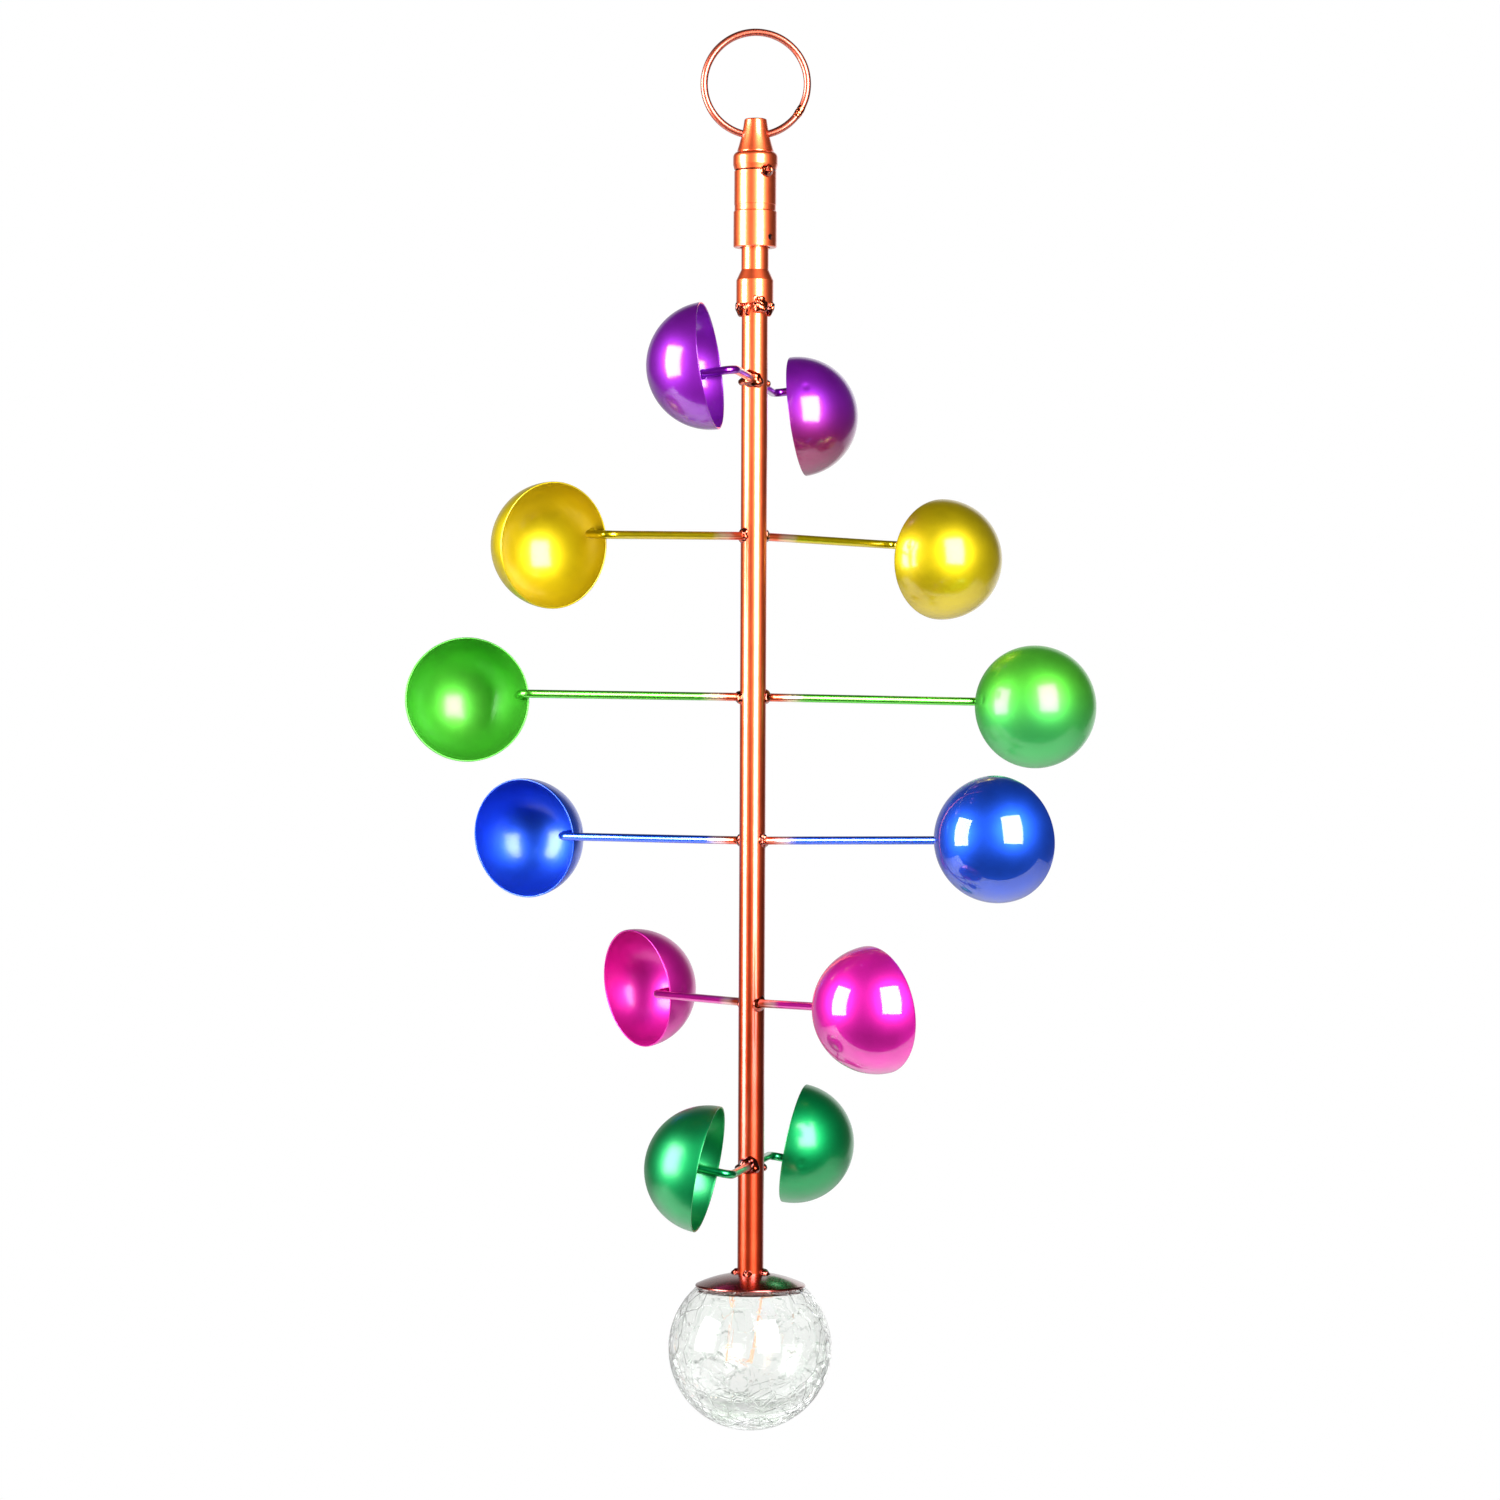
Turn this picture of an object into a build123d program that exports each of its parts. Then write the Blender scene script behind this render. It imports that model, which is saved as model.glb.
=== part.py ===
from build123d import *
import os
from dataclasses import dataclass
from math import pi, sqrt

# A hanging wind chime that spins: a ring, a swivel with a ball bearing in it, and a rotor below,
# which is a pole with six tiers of paired cups and a crackle-glass globe at its foot.
# Millimetres, +Z up. The origin is where a hook touches the ring, at the inner top of the ring.

# ---- Hanging ring -----------------------------------------------------------------------------
RING_DIAMETER = 50.0        # across the wire's centre line
RING_WIRE = 3.6
RING_SEAM_LENGTH = 6.0      # the weld that closes the ring
RING_SEAM_WIRE = 4.4
RING_SEAM_ANGLE = -32.0     # round the ring from +X
RING_CLEARANCE = 0.35       # between the wire and its hole, at the tightest place

# ---- Swivel nose ------------------------------------------------------------------------------
NOSE_ABOVE_HOLE = 7.6
NOSE_TOP_RADIUS = 5.4
NOSE_WAIST_RADIUS = 6.4
NOSE_WAIST_ABOVE_HOLE = 1.4
NOSE_BASE_RADIUS = 8.9
NOSE_BASE_BELOW_HOLE = 8.0
NOSE_EDGE_ROUND = 0.8
SHOULDER_HEIGHT = 9.1       # from the nose's base down to the seam
SHOULDER_STEP = 0.6         # out from the sleeve's side
SHOULDER_CROWN = 3.2        # height of its rounded top
SHOULDER_TAPER = 2.4        # height of the taper down to the seam
NECK_GROOVE = 0.5           # groove between the nose and its shoulder
NOSE_SPIGOT = 6.0

# ---- Swivel housing ---------------------------------------------------------------------------
SLEEVE_LENGTH = 20.0
SLEEVE_STEP = 0.3           # in from the collar's side
SLEEVE_THREAD_WALL = 2.2
RELIEF_WIDTH = 3.0          # shallow turned band above the sleeve's lower seam
RELIEF_DEPTH = 0.15
COLLAR_LENGTH = 17.6
COLLAR_WALL = 1.3           # outside the thread
COLLAR_THREAD_STEP = 1.2    # out from the bearing, so that it goes in past the thread
COLLAR_FLANGE = 2.0
COLLAR_LIP = 0.7            # how far the flange reaches in under the bearing
COLLAR_EDGE = 0.4
GRUB_RADIUS = 1.5
GRUB_SOCKET = 1.5           # across flats
GRUB_SUNK = 0.7
GRUB_ANGLE = -45.0

# ---- Ball bearing, 5 x 16 x 5 -----------------------------------------------------------------
BEARING_BORE_RADIUS = 2.5
BEARING_RADIUS = 8.0
BEARING_WIDTH = 5.0
BALL_COUNT = 8
BALL_RADIUS = 1.48
BALL_CLEARANCE = 0.08
GROOVE_DEPTH = 0.41
SHIELD_THICKNESS = 0.3
CAGE_SIDE_GAP = 0.5         # between the cage and each race
CAGE_POCKET_GAP = 0.12

# ---- Spindle and coupling ---------------------------------------------------------------------
SPINDLE_HEAD_FLATS = 8.0
SPINDLE_HEAD_HEIGHT = 3.5
SPINDLE_LENGTH = 20.0
WASHER_INSET = 0.1          # in from the inner race's side
WASHER_THICKNESS = 0.8
SPACER_HEIGHT = 1.2
NECK_CLEARANCE = 0.7        # in the collar's flange
NECK_LENGTH = 11.6
FLARE_HEIGHT = 5.1
COUPLING_WALL = 2.6         # outside its socket
COUPLING_LENGTH = 11.6
SOCKET_END_WALL = 1.0       # between the spindle's hole and the pole's socket
FIT_CLEARANCE = 0.05

# ---- Pole -------------------------------------------------------------------------------------
POLE_RADIUS = 6.35
POLE_WALL = 1.0
POLE_HEAD = 36.6            # from the coupling down to the first tier
TIER_SPACING = 76.0
POLE_TAIL = 52.9            # from the last tier down to the pole's foot

# ---- Rods and cups ----------------------------------------------------------------------------
ROD_RADIUS = 2.0
ROD_BEND_RADIUS = 5.0       # of the rod's centre line
CUP_RADIUS = 30.0           # outside
CUP_WALL = 0.8
CUP_SETBACK = 7.0           # from the rod's radial run back to the cup's rim
ROD_WALL_GAP = 1.4          # between the rod's side and the cup's wall, at the rim
ROD_END_GAP = 0.1
REACH_SHORT = 80.0          # pole's axis to cup's centre
REACH_MIDDLE = 111.0
REACH_LONG = 138.0


@dataclass
class Tier:
    """One level of the rotor: two opposite rods, each with a cup. A pair of values is one per rod."""
    colour: str
    shift: float            # up from its evenly spaced place, as the tiers are welded by hand
    reach: float
    azimuth: float          # degrees, of the first rod
    tilt: float             # degrees that the tier is turned about its rods' line
    slopes: tuple           # degrees that each rod climbs outward
    lifts: tuple            # height of each cup's centre above its rod


TIERS = [
    Tier("violet", 0.0, REACH_SHORT, 80.0, -7.5, (-2.2, 0.9), (-10.0, 0.0)),
    Tier("yellow", 0.5, REACH_MIDDLE, 36.0, 3.5, (-1.2, -1.4), (-5.7, -5.3)),
    Tier("green", -1.5, REACH_LONG, 9.0, -2.5, (-0.8, 0.5), (-2.4, -2.8)),
    Tier("blue", 5.0, REACH_LONG, -31.0, 6.0, (0.9, 0.3), (1.3, -2.3)),
    Tier("pink", 2.5, REACH_MIDDLE, -55.0, 8.0, (0.8, 0.2), (1.8, 0.4)),
    Tier("emerald", 0.0, REACH_SHORT, 80.0, 11.0, (0.0, 0.0), (5.5, 3.6)),
]

# ---- Weld beads -------------------------------------------------------------------------------
ROD_BEAD_RADIUS = 3.3
CUP_BEAD_RADIUS = 2.7
TACK_BEAD_RADIUS = 2.9
TACK_ANGLES = (-53.0, 127.0)
JOINT_BEAD_RADIUS = 3.4
COUPLING_BEAD_ANGLES = (-62.0, 20.0, 175.0)
CANOPY_BEAD_ANGLES = (-20.0, 70.0, 172.0, 255.0)

# ---- Globe, its canopy and clip ---------------------------------------------------------------
GLOBE_RADIUS = 39.5
GLOBE_WALL = 2.8
GLOBE_MOUTH_RADIUS = 9.5
GLOBE_TOP_DROP = 0.2        # the glass's flat top stands this far above the canopy's lip
CANOPY_RADIUS = 26.7
CANOPY_RISE = 6.0
CANOPY_SHEET = 0.8
CANOPY_LIP = 1.0
CLIP_SHEET = 1.0
CLIP_WIDTH = 7.0
CLIP_MOUTH_GAP = 1.9        # between each leg and the globe's mouth
CLIP_TAPER = 1.0            # how far each leg comes in on its way down
CLIP_DEPTH = 36.5           # below the canopy's lip
CLIP_CATCH = 1.3            # how far each barb reaches under the glass
CLIP_LEAN = 5.4             # how far the clip's foot has swung over towards -X

# ---- Places that follow from the sizes --------------------------------------------------------
ring_radius = RING_DIAMETER / 2
wire_radius = RING_WIRE / 2
ring_z = wire_radius - ring_radius
ring_foot_z = ring_z - ring_radius
ring_sag = ring_radius - sqrt(ring_radius**2 - NOSE_WAIST_RADIUS**2)
hole_z = ring_foot_z + ring_sag / 2
hole_radius = wire_radius + ring_sag / 2 + RING_CLEARANCE

thread_radius = BEARING_RADIUS + COLLAR_THREAD_STEP
collar_radius = thread_radius + COLLAR_WALL
sleeve_radius = collar_radius - SLEEVE_STEP
sleeve_bore_radius = thread_radius - SLEEVE_THREAD_WALL
shoulder_radius = sleeve_radius + SHOULDER_STEP

nose_top_z = hole_z + NOSE_ABOVE_HOLE
nose_base_z = hole_z - NOSE_BASE_BELOW_HOLE
seam_z = nose_base_z - SHOULDER_HEIGHT
sleeve_foot_z = seam_z - SLEEVE_LENGTH
collar_foot_z = sleeve_foot_z - COLLAR_LENGTH
bearing_foot_z = collar_foot_z + COLLAR_FLANGE
bearing_top_z = bearing_foot_z + BEARING_WIDTH
bearing_z = bearing_foot_z + BEARING_WIDTH / 2
groove_radius = BALL_RADIUS + BALL_CLEARANCE
pitch_radius = (BEARING_BORE_RADIUS + BEARING_RADIUS) / 2
race_inner_radius = pitch_radius - (groove_radius - GROOVE_DEPTH)
race_outer_radius = pitch_radius + (groove_radius - GROOVE_DEPTH)

washer_radius = race_inner_radius - WASHER_INSET
collar_mouth_radius = BEARING_RADIUS - COLLAR_LIP
neck_radius = collar_mouth_radius - NECK_CLEARANCE
coupling_radius = POLE_RADIUS + FIT_CLEARANCE + COUPLING_WALL
spindle_seat_z = bearing_top_z + WASHER_THICKNESS
neck_top_z = bearing_foot_z - SPACER_HEIGHT
flare_top_z = neck_top_z - NECK_LENGTH
coupling_top_z = flare_top_z - FLARE_HEIGHT
coupling_foot_z = coupling_top_z - COUPLING_LENGTH
spindle_foot_z = spindle_seat_z - SPINDLE_LENGTH
pole_top_z = spindle_foot_z - SOCKET_END_WALL
first_tier_z = coupling_foot_z - POLE_HEAD
pole_foot_z = first_tier_z - TIER_SPACING * (len(TIERS) - 1) - POLE_TAIL

cup_inner_radius = CUP_RADIUS - CUP_WALL
rod_offset = cup_inner_radius - ROD_WALL_GAP - ROD_RADIUS
rod_contact_depth = sqrt(cup_inner_radius**2 - (rod_offset + ROD_RADIUS) ** 2)
rod_end_y = -(CUP_SETBACK + rod_contact_depth - ROD_END_GAP)

canopy_sphere_radius = (CANOPY_RADIUS**2 + CANOPY_RISE**2) / (2 * CANOPY_RISE)
canopy_inner_radius = CANOPY_RADIUS - CANOPY_SHEET
canopy_sag_at_pole = canopy_sphere_radius - sqrt(canopy_sphere_radius**2 - POLE_RADIUS**2)
canopy_top_z = pole_foot_z + CANOPY_SHEET + canopy_sag_at_pole
canopy_rim_z = canopy_top_z - CANOPY_RISE
canopy_lip_z = canopy_rim_z - CANOPY_LIP
canopy_centre_z = canopy_top_z - canopy_sphere_radius
globe_z = canopy_lip_z - sqrt(GLOBE_RADIUS**2 - canopy_inner_radius**2)
globe_top_z = canopy_lip_z + GLOBE_TOP_DROP
globe_ceiling_z = globe_top_z - GLOBE_WALL
clip_top_x = GLOBE_MOUTH_RADIUS - CLIP_MOUTH_GAP
clip_foot_x = clip_top_x - CLIP_TAPER


# ---- Helpers ----------------------------------------------------------------------------------
def turned(*corners):
    """Solid of revolution about +Z, from (radius, height) corners joined by straight lines."""
    return revolve(Plane.XZ * make_face(Polyline(*corners, close=True)), Axis.Z)


def tube(outer, inner, low, high):
    """Upright tube on the pole's axis."""
    return turned((inner, low), (outer, low), (outer, high), (inner, high))


def rod_between(start, end, radius):
    """Round bar from one point to another."""
    run = Vector(*end) - Vector(*start)
    plane = Plane(origin=start, z_dir=run)
    return extrude(plane * Circle(radius), run.length)


def at_azimuth(angle, radius, height):
    """Point at an angle round the pole's axis."""
    spot = Vector(radius, 0, height).rotate(Axis.Z, angle)
    return (spot.X, spot.Y, spot.Z)


def tier_height(tier):
    """Height at which the tier's rods meet the pole's axis."""
    return first_tier_z - TIER_SPACING * TIERS.index(tier) + tier.shift


def placed(tier, side):
    """Place of a rod's own frame: +X out along the rod, +Y the way the cup opens."""
    turn = tier.azimuth + 180 * side
    tilt = -tier.tilt if side else tier.tilt
    return Pos(0, 0, tier_height(tier)) * Rot(0, 0, turn) * Rot(0, -tier.slopes[side], 0) * Rot(tilt, 0, 0)


def cup_centre(tier, side):
    """Centre of the cup's rim, in the rod's own frame."""
    return (tier.reach, -CUP_SETBACK, tier.lifts[side])


def rod_reach(tier, side):
    """Distance out to the rod's bend, where it keeps its gap to the cup's wall."""
    return tier.reach - sqrt(rod_offset**2 - tier.lifts[side] ** 2)


# ---- Ring and nose ----------------------------------------------------------------------------
def hanging_ring():
    return Pos(0, 0, ring_z) * Rot(90, 0, 0) * Torus(ring_radius, wire_radius)


def ring_seam_weld():
    """Short thicker sleeve round the wire, where the ring's ends are welded."""
    spread = RING_SEAM_LENGTH / ring_radius * 180 / pi / 2
    section = Plane.XZ * (Pos(ring_radius, 0) * (Circle(RING_SEAM_WIRE / 2) - Circle(wire_radius)))
    sleeve = Rot(0, 0, -spread) * revolve(section, Axis.Z, 2 * spread)
    return Pos(0, 0, ring_z) * Rot(90, 0, 0) * Rot(0, 0, RING_SEAM_ANGLE) * sleeve


def swivel_nose():
    """Flared nose that the ring passes through, on a rounded shoulder, with a spigot below."""
    waist_z = hole_z + NOSE_WAIST_ABOVE_HOLE
    crown_z = nose_base_z - SHOULDER_CROWN
    crown_start = NOSE_BASE_RADIUS - NECK_GROOVE
    side = ThreePointArc(
        (NOSE_TOP_RADIUS, nose_top_z), (NOSE_WAIST_RADIUS, waist_z), (NOSE_BASE_RADIUS, nose_base_z)
    )
    crown = EllipticalCenterArc(
        (crown_start, crown_z), shoulder_radius - crown_start, SHOULDER_CROWN - NECK_GROOVE, 0, arc_size=90
    )
    rest = Polyline(
        (shoulder_radius, crown_z), (shoulder_radius, seam_z + SHOULDER_TAPER), (sleeve_radius, seam_z),
        (sleeve_bore_radius, seam_z), (sleeve_bore_radius, seam_z - NOSE_SPIGOT), (0, seam_z - NOSE_SPIGOT),
        (0, nose_top_z), (NOSE_TOP_RADIUS, nose_top_z),
    )
    step = Polyline(
        (NOSE_BASE_RADIUS, nose_base_z), (crown_start, nose_base_z),
        (crown_start, crown_z + SHOULDER_CROWN - NECK_GROOVE),
    )
    nose = revolve(Plane.XZ * make_face(side + step + crown + rest), Axis.Z)
    top_edge = nose.edges().filter_by(GeomType.CIRCLE).sort_by(Axis.Z)[-1]
    nose = fillet(top_edge, NOSE_EDGE_ROUND)
    span = 2 * shoulder_radius
    return nose - rod_between((-span, 0, hole_z), (span, 0, hole_z), hole_radius)


def nose_tack_welds():
    """Small beads across the seam between the nose and the sleeve."""
    blocked = turned((0, seam_z), (sleeve_radius, seam_z), (shoulder_radius, seam_z + SHOULDER_TAPER),
                     (shoulder_radius, nose_base_z), (0, nose_base_z))
    blocked += tube(sleeve_radius, 0, sleeve_foot_z, seam_z)
    beads = [Pos(*at_azimuth(a, sleeve_radius, seam_z)) * Sphere(TACK_BEAD_RADIUS) for a in TACK_ANGLES]
    return Compound([solid for bead in beads for solid in (bead - blocked).solids()])


# ---- Housing ----------------------------------------------------------------------------------
def swivel_sleeve():
    """Upper half of the housing, with a male thread below that the collar screws onto."""
    relief_z = sleeve_foot_z + RELIEF_WIDTH
    return turned(
        (sleeve_bore_radius, seam_z), (sleeve_radius, seam_z), (sleeve_radius, relief_z),
        (sleeve_radius - RELIEF_DEPTH, relief_z), (sleeve_radius - RELIEF_DEPTH, sleeve_foot_z),
        (thread_radius, sleeve_foot_z), (thread_radius, bearing_top_z),
        (sleeve_bore_radius, bearing_top_z),
    )


def grub_hole():
    """Radial hole through the collar's wall, on to the bearing's side."""
    far = at_azimuth(GRUB_ANGLE, collar_radius + 1, bearing_z)
    return rod_between(at_azimuth(GRUB_ANGLE, BEARING_RADIUS, bearing_z), far, GRUB_RADIUS)


def bearing_collar():
    """Lower half of the housing, which carries the bearing on its flange."""
    mouth = collar_mouth_radius
    collar = turned(
        (mouth, collar_foot_z), (collar_radius - COLLAR_EDGE, collar_foot_z),
        (collar_radius, collar_foot_z + COLLAR_EDGE), (collar_radius, sleeve_foot_z - COLLAR_EDGE),
        (collar_radius - COLLAR_EDGE, sleeve_foot_z), (thread_radius, sleeve_foot_z),
        (thread_radius, bearing_top_z), (BEARING_RADIUS, bearing_top_z),
        (BEARING_RADIUS, bearing_foot_z), (mouth, bearing_foot_z),
    )
    return collar - grub_hole()


def collar_grub_screw():
    """Socket set screw that locks the bearing in the collar."""
    tip = at_azimuth(GRUB_ANGLE, BEARING_RADIUS + FIT_CLEARANCE, bearing_z)
    back = at_azimuth(GRUB_ANGLE, collar_radius - GRUB_SUNK, bearing_z)
    run = Vector(*back) - Vector(*tip)
    socket_plane = Plane(origin=back, z_dir=run)
    socket = extrude(socket_plane * RegularPolygon(GRUB_SOCKET / 2, 6, major_radius=False), -run.length / 2)
    return rod_between(tip, back, GRUB_RADIUS) - socket


# ---- Bearing ----------------------------------------------------------------------------------
def race(outer, inner):
    """Bearing race with the balls' groove cut into it."""
    ring = tube(outer, inner, bearing_foot_z, bearing_top_z)
    return ring - Pos(0, 0, bearing_z) * Torus(pitch_radius, groove_radius)


def ball_spots():
    return [at_azimuth(360 / BALL_COUNT * i, pitch_radius, bearing_z) for i in range(BALL_COUNT)]


def bearing_balls():
    ball = Solid.make_sphere(BALL_RADIUS, angle1=-90, angle2=90)
    return Compound([Pos(*spot) * ball for spot in ball_spots()])


def bearing_cage():
    """Crown that keeps the balls apart, with its back above them."""
    inner = race_inner_radius + CAGE_SIDE_GAP
    outer = race_outer_radius - CAGE_SIDE_GAP
    back_z = bearing_top_z - SHIELD_THICKNESS - CAGE_POCKET_GAP
    cage = tube(outer, inner, bearing_z + CAGE_POCKET_GAP, back_z)
    for spot in ball_spots():
        cage -= Pos(*spot) * Sphere(BALL_RADIUS + CAGE_POCKET_GAP)
    return cage


def bearing_shields():
    """Thin dust discs held in the outer race, clear of the inner one."""
    inner = race_inner_radius + CAGE_POCKET_GAP
    lower = tube(race_outer_radius, inner, bearing_foot_z, bearing_foot_z + SHIELD_THICKNESS)
    upper = tube(race_outer_radius, inner, bearing_top_z - SHIELD_THICKNESS, bearing_top_z)
    return Compound([lower.solid(), upper.solid()])


# ---- Spindle, coupling and pole ---------------------------------------------------------------
def spindle_bolt():
    """Hexagon bolt that hangs the rotor from the bearing's inner race."""
    shank = tube(BEARING_BORE_RADIUS, 0, spindle_foot_z, spindle_seat_z)
    head_plan = RegularPolygon(SPINDLE_HEAD_FLATS / 2, 6, major_radius=False)
    return shank + extrude(Pos(0, 0, spindle_seat_z) * head_plan, SPINDLE_HEAD_HEIGHT)


def spindle_washer():
    return tube(washer_radius, BEARING_BORE_RADIUS + FIT_CLEARANCE, bearing_top_z, spindle_seat_z)


def spindle_spacer():
    return tube(washer_radius, BEARING_BORE_RADIUS + FIT_CLEARANCE, neck_top_z, bearing_foot_z)


def coupling():
    """Neck screwed onto the spindle, flaring to a socket that takes the pole."""
    socket_radius = POLE_RADIUS + FIT_CLEARANCE
    return turned(
        (BEARING_BORE_RADIUS, neck_top_z), (neck_radius, neck_top_z), (neck_radius, flare_top_z),
        (coupling_radius, coupling_top_z), (coupling_radius, coupling_foot_z),
        (socket_radius, coupling_foot_z), (socket_radius, pole_top_z), (BEARING_BORE_RADIUS, pole_top_z),
    )


def pole():
    return tube(POLE_RADIUS, POLE_RADIUS - POLE_WALL, pole_foot_z, pole_top_z)


def coupling_welds():
    """Beads in the corner under the coupling."""
    blocked = tube(coupling_radius, 0, coupling_foot_z, coupling_top_z)
    blocked += tube(POLE_RADIUS, 0, pole_foot_z, pole_top_z)
    spots = [at_azimuth(a, POLE_RADIUS + 1, coupling_foot_z) for a in COUPLING_BEAD_ANGLES]
    beads = [Pos(*spot) * Sphere(JOINT_BEAD_RADIUS) - blocked for spot in spots]
    return Compound([bead.solids().sort_by(SortBy.VOLUME)[-1] for bead in beads])


# ---- Rods and cups ----------------------------------------------------------------------------
def rod(tier, side):
    """Round rod out from the pole, bent back into its cup. Its root follows the pole's curve."""
    reach = rod_reach(tier, side)
    path = FilletPolyline((0, 0, 0), (reach, 0, 0), (reach, rod_end_y, 0), radius=ROD_BEND_RADIUS)
    bar = sweep(Plane(origin=(0, 0, 0), z_dir=(1, 0, 0)) * Circle(ROD_RADIUS), path=path)
    return placed(tier, side) * bar - tube(POLE_RADIUS, 0, pole_foot_z, pole_top_z)


def cup(tier, side):
    """Hemispherical shell, open towards its frame's +Y."""
    inner = cup_inner_radius
    outline = (
        Line((inner, 0), (CUP_RADIUS, 0)) + CenterArc((0, 0), CUP_RADIUS, -90, 90)
        + Line((0, -CUP_RADIUS), (0, -inner)) + CenterArc((0, 0), inner, -90, 90)
    )
    shell = revolve(make_face(outline), Axis.Y)
    return placed(tier, side) * Pos(*cup_centre(tier, side)) * shell


def rod_bead(tier, side):
    """Rounded weld round the rod's root."""
    half = sqrt(ROD_BEAD_RADIUS**2 - ROD_RADIUS**2)
    start, end = (POLE_RADIUS - half, ROD_RADIUS), (POLE_RADIUS + half, ROD_RADIUS)
    outline = ThreePointArc(start, (POLE_RADIUS, ROD_BEAD_RADIUS), end) + Line(end, start)
    bead = placed(tier, side) * revolve(make_face(outline), Axis.X)
    return (bead - tube(POLE_RADIUS, 0, pole_foot_z, pole_top_z)).solid()


def cup_bead(tier, side):
    """Weld between the rod's end and the cup's wall."""
    reach = rod_reach(tier, side)
    centre = Vector(*cup_centre(tier, side))
    out = (Vector(reach, 0, 0) - Vector(centre.X, 0, centre.Z)).normalized()
    end = Vector(reach, rod_end_y, 0) + out * ROD_RADIUS
    bead = Pos(end.X, end.Y, end.Z) * Rot(30, 50, 0) * Sphere(CUP_BEAD_RADIUS)
    bead &= Pos(*centre) * Sphere(cup_inner_radius)
    bead -= rod_between((reach, 0, 0), (reach, rod_end_y, 0), ROD_RADIUS)
    return (placed(tier, side) * bead).solids().sort_by(SortBy.VOLUME)[-1]


# ---- Canopy, clip and globe -------------------------------------------------------------------
def globe_canopy():
    """Shallow pressed dome with a turned-down lip, on the pole's foot."""
    inner_sphere = canopy_sphere_radius - CANOPY_SHEET
    hole = POLE_RADIUS

    def on_sphere(radius, r):
        return (r, canopy_centre_z + sqrt(radius**2 - r**2))

    mid = (hole + CANOPY_RADIUS) / 2
    outer = ThreePointArc(
        on_sphere(canopy_sphere_radius, hole), on_sphere(canopy_sphere_radius, mid),
        on_sphere(canopy_sphere_radius, CANOPY_RADIUS),
    )
    inner = ThreePointArc(
        on_sphere(inner_sphere, canopy_inner_radius), on_sphere(inner_sphere, mid),
        on_sphere(inner_sphere, hole),
    )
    lip = Polyline(
        on_sphere(canopy_sphere_radius, CANOPY_RADIUS), (CANOPY_RADIUS, canopy_lip_z),
        (canopy_inner_radius, canopy_lip_z), on_sphere(inner_sphere, canopy_inner_radius),
    )
    throat = Line(on_sphere(inner_sphere, hole), on_sphere(canopy_sphere_radius, hole))
    return revolve(Plane.XZ * make_face(outer + lip + inner + throat), Axis.Z)


def canopy_welds():
    """Beads in the corner between the pole and the canopy."""
    corner_z = pole_foot_z + CANOPY_SHEET
    blocked = Pos(0, 0, canopy_centre_z) * Sphere(canopy_sphere_radius)
    blocked += tube(POLE_RADIUS, 0, pole_foot_z, pole_top_z)
    spots = [at_azimuth(a, POLE_RADIUS + 1, corner_z) for a in CANOPY_BEAD_ANGLES]
    beads = [Pos(*spot) * Sphere(JOINT_BEAD_RADIUS - 0.4) - blocked for spot in spots]
    return Compound([bead.solids().sort_by(SortBy.VOLUME)[-1] for bead in beads])


def globe_clip():
    """Sprung U of strip under the canopy. Its barbs catch under the globe's mouth."""
    corner = clip_top_x**2 + (CLIP_WIDTH / 2) ** 2
    under_z = canopy_centre_z + sqrt((canopy_sphere_radius - CANOPY_SHEET) ** 2 - corner)
    foot_z = canopy_lip_z - CLIP_DEPTH
    top_x, left, right = clip_top_x, -clip_foot_x - CLIP_LEAN, clip_foot_x - CLIP_LEAN
    outer = Polyline((-top_x, under_z), (left, foot_z), (right, foot_z), (top_x, under_z))
    inner = Polyline(
        (top_x, under_z), (top_x - CLIP_SHEET, under_z), (right - CLIP_SHEET, foot_z + CLIP_SHEET),
        (left + CLIP_SHEET, foot_z + CLIP_SHEET), (CLIP_SHEET - top_x, under_z), (-top_x, under_z),
    )
    strip = extrude(Plane.XZ * make_face(outer + inner), CLIP_WIDTH / 2, both=True)
    barb_z = globe_ceiling_z - CLIP_SHEET / 2
    down = (under_z - barb_z) / (under_z - foot_z)
    for way, foot in ((-1, left), (1, right)):
        start = way * (top_x - CLIP_SHEET / 2) + (foot - way * top_x) * down
        end = way * (GLOBE_MOUTH_RADIUS + CLIP_CATCH)
        strip += Pos((start + end) / 2, 0, barb_z) * Box(abs(end - start), CLIP_WIDTH, CLIP_SHEET)
    return strip


def glass_globe():
    """Hollow ball with a flat top and a small round mouth."""
    inner = GLOBE_RADIUS - GLOBE_WALL
    edge = sqrt(GLOBE_RADIUS**2 - (globe_top_z - globe_z) ** 2)
    inner_edge = sqrt(inner**2 - (globe_ceiling_z - globe_z) ** 2)
    outline = (
        ThreePointArc((edge, globe_top_z), (GLOBE_RADIUS, globe_z), (0, globe_z - GLOBE_RADIUS))
        + Line((0, globe_z - GLOBE_RADIUS), (0, globe_z - inner))
        + ThreePointArc((0, globe_z - inner), (inner, globe_z), (inner_edge, globe_ceiling_z))
        + Polyline((inner_edge, globe_ceiling_z), (GLOBE_MOUTH_RADIUS, globe_ceiling_z),
                   (GLOBE_MOUTH_RADIUS, globe_top_z), (edge, globe_top_z))
    )
    return revolve(Plane.XZ * make_face(outline), Axis.Z)


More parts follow.
